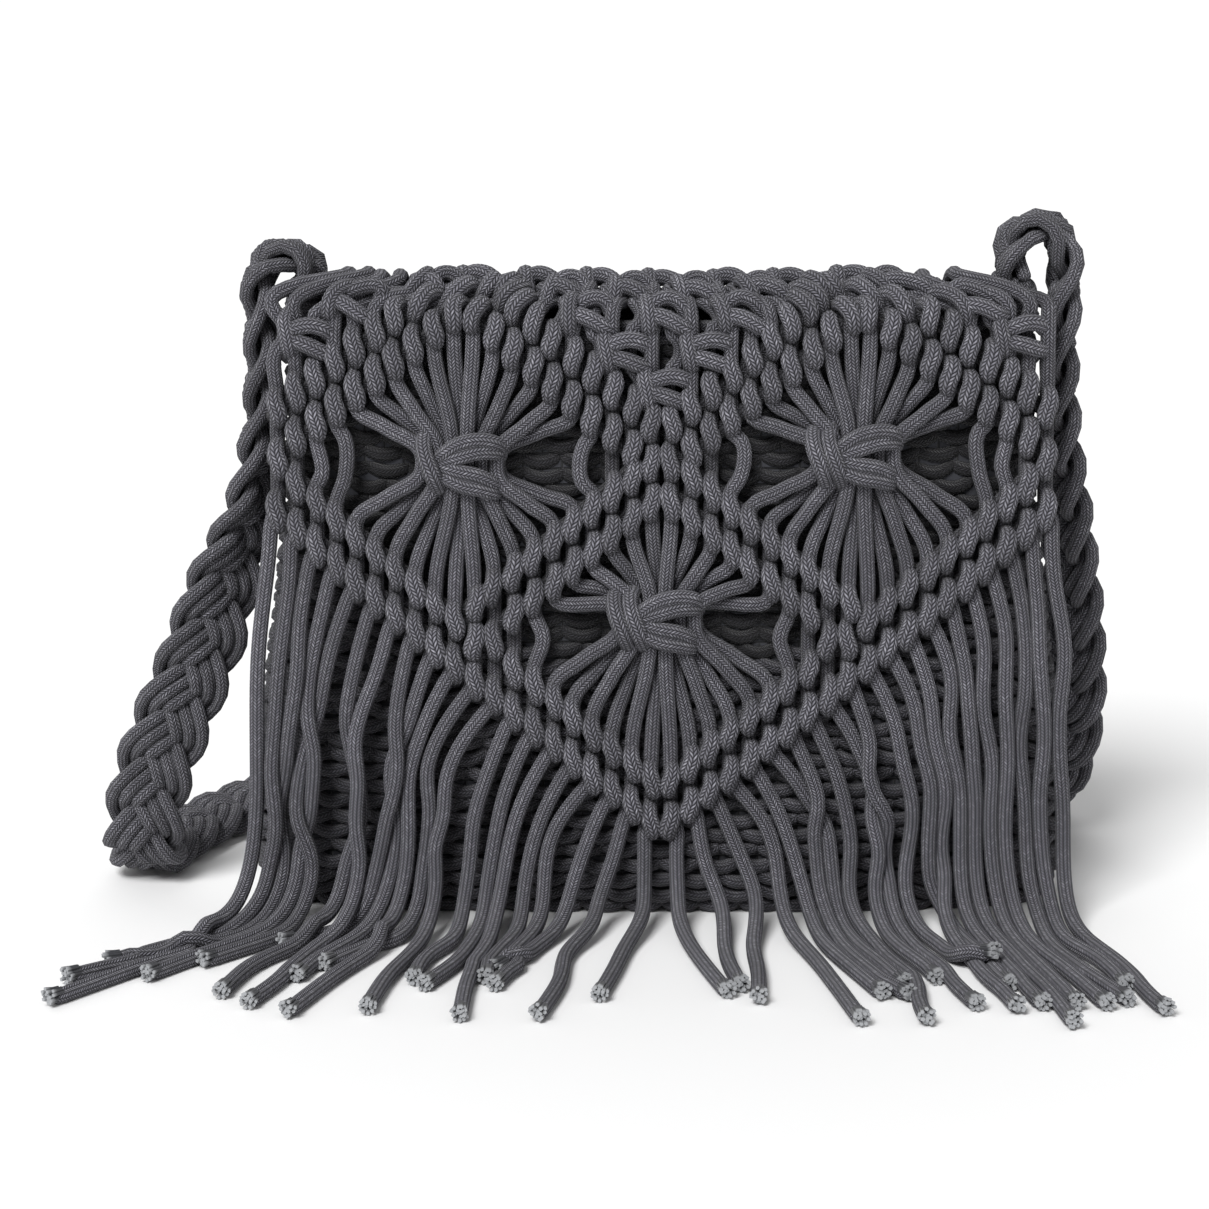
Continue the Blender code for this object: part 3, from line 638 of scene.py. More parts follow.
def drapeLine():
    back = topHalfDepth - pouch["wall"] / 2
    front = topHalfDepth + flap["standoff"] + flap["sheet"] / 2
    rim = rimMiddle + 0.3 * mm
    angle = np.linspace(0, math.pi, 25)
    fold = np.stack([(back - front) / 2 + (back + front) / 2 * np.cos(angle),
                     rim + flap["rise"] * np.sin(angle)], axis=1)
    up = np.linspace(0.95, 0.09, 30)
    depth = pouch["depth"] / 2 * sectionAt(up)[1] + flap["standoff"] + flap["sheet"] / 2
    widest = np.maximum.accumulate(np.maximum(depth, front))
    hanging = np.stack([-widest, up * rimMiddle], axis=1)
    turn = np.linspace(0, math.pi / 2, 10)
    bend = np.stack([-widest[-1] - flap["bend"] * (1 - np.cos(turn)),
                     flap["sheet"] / 2 + flap["bend"] * (1 - np.sin(turn))], axis=1)
    line = np.vstack([fold, hanging, bend, bend[-1:] + [[-flap["onTable"], 0]]])
    frontLength = np.linalg.norm(np.diff(fold, axis=0), axis=1).sum()
    line = evenly(np.hstack([line, np.zeros((len(line), 1))]), 1.0 * mm)[:, :2]
    tangent = np.gradient(line, axis=0)
    tangent /= np.linalg.norm(tangent, axis=1)[:, None]
    normal = np.stack([tangent[:, 1], -tangent[:, 0]], axis=1)
    length = np.concatenate([[0], np.cumsum(np.linalg.norm(np.diff(line, axis=0), axis=1))])
    return line, normal, (length - frontLength) / mm


drape, drapeNormal, drapeAlong = drapeLine()
rootAlong = drapeAlong[0]
tableAlong = drapeAlong[np.argmin(np.abs(drape[:, 1] - flap["sheet"] / 2 - 0.1 * mm))]


def onFlap(chart):
    # chart rows of x, s and lift, in mm, to places in metres
    x, s, lift = np.asarray(chart, float).T[:3]
    y, z = [np.interp(s, drapeAlong, column) for column in drape.T]
    ny, nz = [np.interp(s, drapeAlong, column) for column in drapeNormal.T]
    middleY = y.copy()
    wide, narrow, share = flap["waist"]
    t = np.clip((s - wide) / (narrow - wide), 0, 1)
    x, lift = x * (1 - share * t * t * (3 - 2 * t)) * mm, lift * mm
    y, z = y + ny * lift, z + nz * lift
    share = x / topHalfWidth
    z = z + rimLift(share) * np.clip(z / rimMiddle, 0, 1) ** 2
    behind = topHalfDepth * (planShare(share) - 1) * np.clip(middleY / drape[0, 0], 0, 1)
    curl = flap["curl"] * np.abs(x / flapHalf) ** 3 * np.clip(-y / topHalfDepth, 0, 1)
    y = y + np.where(y > 0, behind, curl)
    return np.stack([x, y, z], axis=1)


def paintedDepthShade(lift):
    # painted shade: cords that lie under others are darkened; that is assumed, after the photo's dark
    # gaps
    return np.clip((np.asarray(lift) - flap["paintedShadeFrom"]) * flap["paintedDepthShade"], -1.0, 0)


def grainRows(x):
    # where the column at x is hitched to a bar, from the top down, and to which side the foot of
    # each hitch leans
    half, drop, tall = flap["diamondHalfWidth"], flap["knotDrop"], flap["diamond"]
    bars = flap["bars"]
    outward = 1 if x > 0 else -1
    d = abs(abs(x) - half) / half
    inner = abs(x) < half
    upper = outward if inner else -outward
    top = drop - tall * (1 - d)
    low = drop + tall * (1 - d)
    rows = [(top + bars["topOuter"], upper), (top + bars["topInner"], upper)]
    if inner:
        tip = drop + tall + tall * (1 - abs(x) / half)
        rows += [(low + bars["midUpper"], outward), (low + bars["midLower"], outward),
                 (tip + bars["hemInner"], -outward), (tip + bars["hemOuter"], -outward)]
    else:
        rows += [(low + bars["hemInner"], -outward), (low + bars["hemOuter"], -outward)]
    rows.sort()
    # where two bars meet, hitches that would crowd each other become one
    while True:
        gaps = [b[0] - a[0] for a, b in zip(rows, rows[1:])]
        k = int(np.argmin(gaps))
        if gaps[k] >= flap["closestRows"]:
            return rows
        a, b = rows[k], rows[k + 1]
        rows[k:k + 2] = [((a[0] + b[0]) / 2, b[1])]


columns = [(i - (flap["cords"] - 1) / 2) * flap["pitch"] for i in range(flap["cords"])]
rowsOf = [grainRows(x) for x in columns]
hemOf = [rows[-1][0] for rows in rowsOf]


# Square knots of the ground above the bars: each row's s, and its knots in steps of two cords
squareKnots = (
    (17.5, (0,)),
    (5.3, (-9, -1, 1, 9)),
    (-7.0, (-8, -2, 0, 2, 8)),
    (-19.2, (-7, -3, -1, 1, 3, 7)),
    (-31.4, (-6, -4, -2, 0, 2, 4, 6)),
    (-43.6, (-7, -5, -3, -1, 1, 3, 5, 7)),
)
squareKnotRadius = 2.8 * mm
# How the four cords that pass through one square knot run, in mm: across, down and lift
squareKnotRoutes = (
    ((-9.8, -6.1, -0.6), (-7.4, -3.0, -1.6), (-7.4, 3.0, -1.6), (-9.8, 6.1, -0.6)),
    ((-3.3, -6.1, -0.6), (-2.4, -2.5, -2.0), (-2.4, 2.5, -2.0), (-3.3, 6.1, -0.6)),
    ((3.3, -6.1, -0.6), (2.4, -2.5, -2.0), (2.4, 2.5, -2.0), (3.3, 6.1, -0.6)),
    ((9.8, -6.1, -0.6), (9.6, -1.8, 1.0), (9.6, 1.8, 1.0), (9.8, 6.1, -0.6)),
)
# What shows of the knot itself: one turn down its left side and two bumps to the right
squareKnotFace = (
    ((-5.2, -6.0, -1.2), (-5.9, -3.2, 2.8), (-5.2, 0.0, 3.8), (-4.6, 3.2, 2.8), (-4.4, 6.0, -1.2)),
    ((-4.6, -1.0, 0.0), (-1.8, -2.8, 3.0), (2.2, -3.9, 3.7), (6.2, -3.2, 2.6), (9.0, -0.8, -0.8)),
    ((-4.6, 1.4, 0.0), (-1.8, 2.0, 3.0), (2.0, 3.2, 3.6), (6.0, 4.8, 2.4), (9.0, 5.6, -0.8)),
)


def knotsOf(i):
    # the square knots that column i takes part in, and its role in each
    found = []
    middle = flap["cords"] // 2 - 2  # the first of the four cords in the middle
    for s, places in squareKnots:
        for place in places:
            role = i - (middle + 2 * place)
            if 0 <= role <= 3:
                found.append((s, 2 * place * flap["pitch"], role))
    return sorted(found)


# Each medallion's middle: across, and down. The photo has the left one a little lower.
medallions = (("left", -flap["diamondHalfWidth"], flap["knotDrop"] + 2.5),
              ("right", flap["diamondHalfWidth"], flap["knotDrop"]),
              ("lower", 0.0, flap["knotDrop"] + flap["diamond"]))


# Where the cords run between the bars of a diamond. Columns are counted from its middle.
gathering = {
    "through": 6,  # the columns nearer than this run through the knot
    "past": 8,  # and the next, up to this, bow past it
    "frontLayer": {"lift": 3.2, "pitch": 2.5},
    "backLayer": {"lift": -2.0, "pitch": 2.1},
    "entry": 9.6,  # how far above and below its middle the cords enter the knot
    "entrySlope": 1.25,  # outer cords enter it nearer to its middle
    "straight": 2,  # the columns up to this go straight in, those further out bow
    "bowAt": 0.42,  # of the way from the knot to the bar
    "bowOut": 1.04,  # how far out there, as a share of midway
    "bowLift": 0.6,  # of the lift at the knot
    "passing": {"near": 3.15, "far": 1.95, "lift": 0.8, "reach": 6},
}


def gather(x, upper, lower):
    # what a cord does between two bars: it runs through a medallion's knot, or bows past it
    stops = []
    for _, centre, middle in medallions:
        k = (x - centre) / flap["pitch"]
        if not upper < middle < lower or abs(k) > gathering["past"]:
            continue
        if abs(k) < gathering["through"]:
            layer = gathering["frontLayer" if round(k - 0.5) % 2 == 0 else "backLayer"]
            narrow = k * layer["pitch"]
            entry = gathering["entry"] - abs(k) * gathering["entrySlope"]
            for sign in (-1, 1):
                stops.append((centre + narrow, middle + sign * entry, layer["lift"]))
            if abs(k) > gathering["straight"]:
                far = centre + (0.5 * (x - centre) + 0.5 * narrow) * gathering["bowOut"]
                lift = layer["lift"] * gathering["bowLift"]
                above = middle - entry - (middle - entry - upper) * gathering["bowAt"]
                below = middle + entry + (lower - middle - entry) * gathering["bowAt"]
                stops.insert(-2, (far, above, lift))
                stops.append((far, below, lift))
        else:
            passing = gathering["passing"]
            bow = passing["near" if abs(k) < gathering["through"] + 1 else "far"]
            for sign in (-1, 1):
                stops.append((x - math.copysign(bow, k), middle + sign * passing["reach"],
                              passing["lift"]))
    return stops


def columnRoute(i, rng):
    x = columns[i]
    rows = rowsOf[i]
    hitch, close, free = flap["inHitch"], flap["betweenBars"], flap["free"]
    held = flap["hitchReach"]
    stops = [(x, rootAlong + 1, flap["rootLift"])]
    for s, centre, role in knotsOf(i):
        stops += [(centre + a, s + b, lift) for a, b, lift in squareKnotRoutes[role]]
    for k, (s, _) in enumerate(rows):
        if s - held > stops[-1][1]:
            stops.append((x + rng.normal(0, 0.2), s - held, hitch))
        stops.append((x, s, hitch))
        if k + 1 == len(rows):
            break
        following = rows[k + 1][0]
        isFree = following - s > flap["freeFrom"]
        between = free if isFree else close
        stops.append((x, s + held, between))
        if isFree:
            clear = held + 1.5
            stops += [p for p in gather(x, s, following) if s + clear < p[1] < following - clear]
        stops.append((x, following - held, between))
    stops.append((x, rows[-1][0] + 4, hitch))
    return stops


def grain(x, s, side, rng):
    # one hitch: a plump, slightly S-shaped wrap that dives in at both ends
    t = np.linspace(-1, 1, 9)
    endCap = 1.9  # the rounded ends lengthen it by this much at each side
    reach = (flap["grainLength"] / 2 - endCap) * rng.uniform(0.94, 1.07)
    lean = flap["lean"] * side * rng.uniform(0.7, 1.3)
    bend = side * flap["grainSway"] * np.sin(math.pi * t)
    across = x + lean * reach * t + bend + rng.normal(0, 0.25)
    lift = flap["grainHeight"] * (1 - np.abs(t) ** 3) - flap["grainSink"] + rng.normal(0, 0.25)
    girth = flap["grainRadius"] * mm * (1 - 0.20 * np.abs(t) ** 3) * rng.uniform(0.96, 1.05)
    route = np.stack([across, s + reach * t, lift], axis=1)
    # the hitch's tone darkens towards both ends, painted shade where it dives under other cords
    return makeCord(onFlap(route), girth, rng.uniform(*flap["grainTone"]) - 0.7 * np.abs(t) ** 4)


def squareKnotCords(rng):
    cords = []
    for s, places in squareKnots:
        for place in places:
            centre = 2 * place * flap["pitch"] + rng.normal(0, 0.3)
            for route in squareKnotFace:
                shift = rng.normal(0, 0.25, 3)
                path = smoothPath([(centre + a + shift[0], s + b + shift[1], lift + shift[2])
                                   for a, b, lift in route], 1.5)
                tone = rng.uniform(*flap["grainTone"]) + paintedDepthShade(path[:, 2])
                cords.append(makeCord(onFlap(path), squareKnotRadius, tone))
    return cords


def leaders(rng):
    # the cord inside each bar shows a little between its hitches
    half, drop, tall = flap["diamondHalfWidth"], flap["knotDrop"], flap["diamond"]
    bars, lift = flap["bars"], flap["leaderLift"]
    edge = flapHalf / mm - 2
    lines = []
    for side in (-1, 1):
        for key, sign in (("topOuter", -1), ("topInner", -1), ("midUpper", 1), ("midLower", 1)):
            lines.append((key, ((side * 3.0, drop), (side * half, drop + sign * tall))))
        for key in ("topOuter", "topInner"):
            lines.append((key, ((side * half, drop - tall), (side * edge, drop))))
        for key in ("hemInner", "hemOuter"):
            lines.append((key, ((side * edge, drop), (0.0, drop + 2 * tall))))
    cords = []
    for key, ((x0, s0), (x1, s1)) in lines:
        t = np.linspace(0, 1, 40)
        path = np.stack([x0 + (x1 - x0) * t, s0 + (s1 - s0) * t + bars[key], np.full(40, lift)], axis=1)
        tone = rng.uniform(*flap["leaderTone"]) + paintedDepthShade(lift)
        cords.append(makeCord(onFlap(path), cordRadius, tone))
    return cords


def makeFlap():
    rng = np.random.default_rng(11)
    cords = []
    for i in range(flap["cords"]):
        path = smoothPath(columnRoute(i, rng), 2.2)
        tone = rng.uniform(*flap["cordTone"]) + paintedDepthShade(path[:, 2])
        cords.append(makeCord(onFlap(path), cordRadius, tone))
    cords += leaders(rng)
    grains = [grain(x, s, side, rng) for x, rows in zip(columns, rowsOf) for s, side in rows]
    grains += squareKnotCords(rng)
    return cords, grains


flapCords, flapGrains = makeFlap()
dress(sweepCords("flap_cords", flapCords, flap["sides"], cotton), "cotton_cord", "flap")
dress(sweepCords("flap_hitches", flapGrains, flap["sides"], cotton), "cotton_cord")
print("flap made:", len(flapCords), "cords,", len(flapGrains), "hitches")


# Medallion knots: a wrap down the left side, and two pairs of cords crossing to the right
medallionKnot = {
    "wrap": ((-0.6, -8.6, -0.5), (-1.8, -6.6, 5.0), (-1.2, -2.4, 8.8), (0.8, 2.6, 9.0), (2.4, 6.6, 5.4),
             (2.8, 8.8, 0.0)),
    # across; on the left medallion the photo shows one wrap, on the others two
    "wrapsAt": {"left": (-11.4,), "right": (-14.0, -8.8), "lower": (-14.0, -8.8)},
    "wrapRadius": 2.95 * mm,
    "tone": (0.4, 0.8),
    "sides": 12,
    "crossing": (
        ((-9.0, -0.5, 3.0), (-6.0, -3.6, 7.2), (-1.0, -7.0, 8.8), (5.0, -8.4, 8.8), (10.0, -7.6, 6.8),
         (12.6, -5.2, 2.0)),
        ((-8.0, 0.2, 3.0), (-4.8, -1.2, 7.0), (0.0, -2.9, 8.8), (5.0, -4.3, 8.4), (9.6, -4.2, 6.0),
         (12.0, -3.0, 1.0)),
        ((-7.6, 1.0, 3.0), (-4.8, 1.4, 7.0), (0.0, 2.4, 8.6), (5.0, 3.4, 8.2), (9.0, 5.4, 5.6),
         (11.0, 6.8, 1.0)),
        ((-7.6, 3.8, 3.0), (-4.6, 5.0, 7.0), (0.0, 6.8, 8.4), (5.0, 7.8, 7.6), (8.8, 9.0, 4.6),
         (10.2, 9.6, 0.5)),
    ),
}


def makeMedallionKnot(name, x, s):
    rng = np.random.default_rng(int(s) + int(x) % 7)
    routes = [[(across + a, b, lift) for a, b, lift in medallionKnot["wrap"]]
              for across in medallionKnot["wrapsAt"][name]]
    routes += medallionKnot["crossing"]
    cords = []
    for k, route in enumerate(routes):
        path = smoothPath([(x + a, s + b, lift) for a, b, lift in route], 1.6)
        girth = medallionKnot["wrapRadius"] if k < len(medallionKnot["wrapsAt"][name]) else cordRadius
        cords.append(makeCord(onFlap(path), girth, rng.uniform(*medallionKnot["tone"])))
    node = "medallion_knot_" + name
    cordsPiece = sweepCords(node + "_cords", cords, medallionKnot["sides"], cotton)
    dress(cordsPiece, "cotton_cord", node)


for medallion in medallions:
    makeMedallionKnot(*medallion)
print("medallion knots made")


# Fringe: each cord of the flap comes out under its last hitch, slants outwards, hangs, and
# lies forward on the table. Most ends are placed from the photo, drawn back a little for the
# tufts; nine that lie behind others are placed between those.
fringe = {
    "slant": 17.0,  # sideways run of a strand under the hem, in mm
    "longestSlant": 36.0,  # down from the hem to where it hangs straight, in mm
    "comesOut": (  # from the hem down, as shares: sideways and down, with the lift in mm
        (0.55, 0.35, 0.8),
        (0.85, 0.62, 1.4),
    ),
    "proud": 34 * mm,  # strands hang at least this far before the bag's middle
    "foot": 22 * mm,  # where the hanging part ends
    "footStep": 4 * mm,  # how far it bends forward there
    "sway": 2.3,  # at random, in mm, while a strand hangs
    "lieSway": 1.8,  # and while it lies on the table
    "lying": (  # share of the way from the foot to the end, and height
        (0.14, 6 * mm),
        (0.36, cordRadius),
        (0.68, cordRadius),
        (1.0, cordRadius),
    ),
    "spacing": 2.6 * mm,
    "rounds": 40,  # of the settling that keeps strands apart
    "heldPoints": 5,  # at the hem, which it leaves where they are
    "closest": 0.97 * 2 * cordRadius,
    "smoothing": 0.25,
    "stride": 0.8,
    "tone": (0.3, 0.9),
    "sides": 10,
    "ends": (  # across and forward, in mm, from left to right
        (-192, -118), (-189, -97), (-176, -84), (-164, -94), (-148, -80), (-140, -110), (-130, -120),
        (-121, -64), (-119, -94), (-117, -129), (-108, -84), (-93, -125), (-80, -97), (-75, -103),
        (-64, -132), (-57, -96), (-53, -103), (-51, -88), (-39, -132), (-20, -113), (19, -110),
        (24, -104), (30, -116), (60, -136), (68, -112), (76, -104), (79, -113), (81, -136),
        (90, -96), (97, -122), (104, -88), (110, -103), (110, -125), (118, -122), (126, -139),
        (129, -122), (138, -122), (145, -118), (149, -103), (156, -127),
    ),
}


def fringeRoute(i, rng):
    x = columns[i]
    outward = 1 if x > 0 else -1
    hem = hemOf[i]
    endX, endY = fringe["ends"][i]
    # strands in the middle and at the flap's sides slant less
    slant = fringe["slant"] * rng.uniform(0.6, 1.15) * min(abs(x) / 20, 1, 1.45 - abs(x) / 110)
    hanging = x + outward * slant
    foot = hanging + (endX - hanging) * 0.12 + rng.normal(0, 2.0)
    fall = min(tableAlong - hem - 4, fringe["longestSlant"])
    chart = [(x, hem - 2, -1.8), (x + outward * 2.2, hem + fall * 0.12, -0.6)]
    for across, down, lift in fringe["comesOut"]:
        chart.append((x + outward * slant * across, hem + fall * down, lift))
    stops = [tuple(p) for p in onFlap(chart)]
    top = stops[-1][2]
    front = min(stops[-1][1], -fringe["proud"]) - 1.0 * mm
    for share in (0.25, 0.5, 0.75) if top > 0.05 else ():
        sway = rng.normal(0, fringe["sway"])
        stops.append(((hanging + (foot - hanging) * share + sway) * mm, front - rng.uniform(0, 4) * mm,
                      top + (fringe["foot"] - top) * share))
    front -= fringe["footStep"]
    stops.append((foot * mm, front, min(0.016, top * 0.55)))
    reach = endY * mm - front
    for share, z in fringe["lying"]:
        sway = rng.normal(0, fringe["lieSway"]) * math.sin(math.pi * share)
        stops.append(((foot + (endX - foot) * share ** 1.15 + sway) * mm, front + reach * share, z))
    return stops


def settle(strands):
    # pushes strands that touch apart, keeps each one smooth and above the table
    points = np.vstack(strands)
    owner = np.repeat(np.arange(len(strands)), [len(s) for s in strands])
    starts = np.concatenate([[0], np.cumsum([len(s) for s in strands])])
    held = np.zeros(len(points), bool)
    for first in starts[:-1]:
        held[first:first + fringe["heldPoints"]] = True
    inside = ~held & (np.roll(owner, 1) == owner) & (np.roll(owner, -1) == owner)
    apart = fringe["closest"]
    for _ in range(fringe["rounds"]):
        square = (points ** 2).sum(1)
        gap = square[:, None] + square[None] - 2 * points @ points.T
        a, b = np.nonzero((gap < apart ** 2) & (owner[:, None] < owner[None]))
        away = points[a] - points[b]
        distance = np.maximum(np.linalg.norm(away, axis=1), 1e-6)
        push = away * ((apart - distance) / distance * 0.5)[:, None]
        move = np.zeros_like(points)
        np.add.at(move, a, push)
        np.add.at(move, b, -push)
        count = np.maximum(np.bincount(np.concatenate([a, b]), minlength=len(points)), 1)
        move = move / np.sqrt(count)[:, None]
        smooth = (np.roll(points, 1, axis=0) + np.roll(points, -1, axis=0)) / 2 - points
        move[inside] += smooth[inside] * fringe["smoothing"]
        move[held] = 0
        points = points + move * fringe["stride"]
        points[:, 2] = np.maximum(points[:, 2], cordRadius)
    return [points[a:b] for a, b in zip(starts, starts[1:])]


def makeFringe():
    rng = np.random.default_rng(23)
    strands = [smoothPath(fringeRoute(i, rng), fringe["spacing"]) for i in range(flap["cords"])]
    strands = settle(strands)
    return strands, [makeCord(s, cordRadius, rng.uniform(*fringe["tone"])) for s in strands]


strandPaths, fringeCords = makeFringe()
dress(sweepCords("fringe_cords", fringeCords, fringe["sides"], cotton), "cotton_cord", "fringe")
print("fringe made:", len(fringeCords), "strands")


# Frayed ends: a tuft of yarns set on the cut end of every strand
tuft = {
    "rings": ((0.2, 3), (0.55, 5), (0.95, 12)),  # how far out, and how many yarns
    "length": 5.2 * mm,
    "yarnRadius": 0.56 * mm,
    "yarnSides": 5,
    "yarnShape": ((-0.2, 0.9), (0.35, 1.0), (0.75, 1.15), (0.97, 1.2)),  # along, and how thick
    "spread": 2.7 * mm,
    "bunch": 0.75,  # yarns start closer together than that
    "lean": (-0.1, 0.35),
    "lift": 0.9 * mm,  # keeps the opened yarns above the table
}


def direction(angle):
    return np.array([math.cos(angle), math.sin(angle), 0])


def addYarn(bm, tip, foot, lean, tall):
    sides = tuft["yarnSides"]
    rings = []
    for share, size in tuft["yarnShape"]:
        middle = foot + lean * max(share, 0) ** 1.5 + [0, 0, tall * share]
        loop = []
        for side in range(sides):
            edge = direction(math.tau * side / sides) * tuft["yarnRadius"] * size
            vert = bm.verts.new(middle + edge)
            vert[tip] = max(share, 0)
            loop.append(vert)
        rings.append(loop)
    for low, high in zip(rings, rings[1:]):
        for side in range(sides):
            other = (side + 1) % sides
            bm.faces.new((low[side], low[other], high[other], high[side]))
    bm.faces.new(rings[0][::-1])
    bm.faces.new(rings[-1])


def makeTuft():
    rng = np.random.default_rng(5)
    bm = bmesh.new()
    tip = bm.verts.layers.float.new("tip")
    k = 0
    for ring, count in tuft["rings"]:
        for _ in range(count):
            out = direction(math.tau * k / count + rng.normal(0, 0.15)) * tuft["spread"] * ring
            lean = out * rng.uniform(*tuft["lean"])
            addYarn(bm, tip, out * tuft["bunch"], lean, tuft["length"] * rng.uniform(0.7, 1.05))
            k += 1
    mesh = bpy.data.meshes.new("tuft")
    bm.to_mesh(mesh)
    bm.free()
    return addPiece("tuft", mesh)


# Sets a tuft on every strand's end, turned the way the strand runs and spun at random
def tuftTree():
    tree, given = newTree("set tufts", {"Ends": "Geometry", "Tuft": "Object", "Seed": "Int",
                                        "Material": "Material"})
    way = addNode(tree, "GeometryNodeInputNamedAttribute", {"data_type": "FLOAT_VECTOR"},
                  {"Name": "way"})
    spin = addNode(tree, "FunctionNodeRandomValue", {"data_type": "FLOAT"},
                   {2: 0.0, 3: math.tau, "Seed": given["Seed"]})
    axis = addNode(tree, "ShaderNodeCombineXYZ", None, {2: spin.outputs[1]})
    turned = addNode(tree, "FunctionNodeEulerToRotation", None, {0: axis.outputs[0]})
    aimed = addNode(tree, "FunctionNodeAlignRotationToVector", {"axis": "Z"},
                    {"Rotation": turned.outputs[0], "Vector": way.outputs[0]})
    shape = addNode(tree, "GeometryNodeObjectInfo", None, {"Object": given["Tuft"]})
    placed = addNode(tree, "GeometryNodeInstanceOnPoints", None,
                     {"Points": given["Ends"], "Instance": shape.outputs["Geometry"],
                      "Rotation": aimed.outputs[0]})
    endTree(tree, placed.outputs[0], given["Material"])
    return tree


def makeTufts(paths):
    mesh = bpy.data.meshes.new("strand ends")
    mesh.from_pydata([tuple(p[-1] + [0, 0, tuft["lift"]]) for p in paths], [], [])
    ways = np.array([p[-1] - p[-4] for p in paths])
    ways /= np.linalg.norm(ways, axis=1)[:, None]
    way = mesh.attributes.new("way", "FLOAT_VECTOR", "POINT")
    way.data.foreach_set("vector", ways.astype(np.float32).ravel())
    guide = addPiece("strand ends", mesh)
    shape = makeTuft()
    setting = guide.modifiers.new("set tufts", "NODES")
    setting.node_group = tuftTree()
    setInput(setting, "Tuft", shape)
    setInput(setting, "Seed", 4)
    setInput(setting, "Material", yarnEnds)
    made = plainMesh(guide, "frayed_ends")
    bpy.data.objects.remove(shape)
    return addPiece("frayed_ends", made)


dress(makeTufts(strandPaths), "cotton_cord")
print("frayed ends made")


# Strap: three strands of three cords, plaited flat. The stops are those of the solid strap.
strap = {
    "thickness": 13 * mm,
    "clearance": 1.2 * mm,  # from the pouch
    "swing": 45 * mm,  # sideways, for an "out" of 1
    "reach": 200 * mm,  # for a "back" of 1
    "setback": 4 * mm,  # of its ends, behind the bag's middle
    "foldRadius": 8.5 * mm,
    "foldRise": {-1: 0.5 * mm, 1: 10 * mm},  # by side: the right fold stands up, as in the photo
    "footRise": 8.6 * mm,  # from the rim's corner to the top of the strap's knot
    "plaitLength": 53.1 * mm,  # for one full round of a strand
    "swingAcross": 7.6 * mm,
    "swingOver": 3.4 * mm,
    "cordStep": 4.5 * mm,  # between neighbouring cords of a strand
    "cordRadius": 2.45 * mm,
    "tone": (0.3, 0.7),
    "sides": 8,
    "stops": (  # across, out, back, up, turn
        (-1.00, 0.00, 0.020, 0.93, 90),
        (-1.00, -0.02, 0.020, 0.78, 86),
        (-1.00, -0.10, 0.015, 0.64, 64),
        (-1.00, -0.31, 0.010, 0.51, 32),
        (-1.00, -0.50, 0.000, 0.39, 14),
        (-1.00, -0.75, -0.005, 0.26, 5),
        (-1.00, -0.93, 0.000, 0.15, 0),
        (-1.00, -1.00, 0.030, 0.045, -6),
        (-1.00, -0.99, 0.110, 0.00, -14),
        (-1.00, -0.80, 0.260, 0.00, -24),
        (-1.00, -0.36, 0.450, 0.00, -33),
        (-0.93, 0.00, 0.650, 0.00, -42),
        (-0.63, 0.00, 0.850, 0.00, -57),
        (-0.26, 0.00, 0.965, 0.00, -76),
        (0.15, 0.00, 0.980, 0.00, -95),
        (0.53, 0.00, 0.890, 0.00, -114),
        (0.83, 0.00, 0.715, 0.00, -136),
        (1.00, 0.00, 0.500, 0.00, -154),
        (1.00, 0.16, 0.330, 0.07, -172),
        (1.00, 0.26, 0.240, 0.24, -212),
        (1.00, 0.24, 0.180, 0.42, -236),
        (1.00, 0.15, 0.120, 0.60, -254),
        (1.00, 0.04, 0.060, 0.78, -266),
        (1.00, 0.00, 0.020, 0.93, -270),
    ),
}
strapSide = topHalfWidth + strap["clearance"] + strap["thickness"] / 2
strapRoot = strapSide - 2 * strap["foldRadius"]
strapFoot = pouch["height"] + strap["footRise"]


def strapFold(side, turn):
    middle = (strapRoot + strapSide) / 2
    stops = [(side * strapRoot, strap["setback"], strapFoot, turn)]
    for degrees in (0, 45, 90, 135, 180):
        angle = math.radians(degrees)
        stops.append((side * (middle - strap["foldRadius"] * math.cos(angle)), strap["setback"],
                      strapFoot + strap["foldRise"][side] + strap["foldRadius"] * math.sin(angle), turn))
    return stops


def strapLine():
    low = strap["thickness"] / 2
    stops = strapFold(-1, 90)
    for across, out, back, up, turn in strap["stops"]:
        stops.append((across * strapSide + out * strap["swing"], back * strap["reach"],
                      low + up * pouch["height"], turn))
    stops += reversed(strapFold(1, -270))
    line = smoothPath(stops, 3.0 * mm, 12)
    line[:, 2] = np.maximum(line[:, 2], low)
    return line


def makeStrap():
    rng = np.random.default_rng(31)
    line = strapLine()
    place = line[:, :3]
    steps = np.linalg.norm(np.diff(place, axis=0), axis=1)
    along = np.concatenate([[0], np.cumsum(steps)])
    tangent = np.gradient(place, axis=0)
    tangent /= np.linalg.norm(tangent, axis=1)[:, None]
    turn = np.radians(line[:, 3])
    width = np.stack([np.cos(turn), np.sin(turn), np.zeros(len(turn))], axis=1)
    width -= tangent * (width * tangent).sum(1)[:, None]
    width /= np.linalg.norm(width, axis=1)[:, None]
    face = np.cross(tangent, width)
    cords = []
    for strand in range(3):
        angle = math.tau * (along / strap["plaitLength"] + strand / 3)
        across = strap["swingAcross"] * np.sin(angle)
        over = strap["swingOver"] * np.sin(2 * angle)
        middle = place + width * across[:, None] + face * over[:, None]
        way = np.gradient(middle, axis=0)
        beside = np.cross(face, way)
        beside /= np.linalg.norm(beside, axis=1)[:, None]
        for k in (-1, 0, 1):
            points = middle + beside * k * strap["cordStep"]
            points[:, 2] = np.maximum(points[:, 2], strap["cordRadius"])
            cords.append(makeCord(points, strap["cordRadius"], rng.uniform(*strap["tone"])))
    print("strap length %.3f m" % along[-1])
    return cords


dress(sweepCords("strap_cords", makeStrap(), strap["sides"], strapCotton), "strap_cord", "strap")


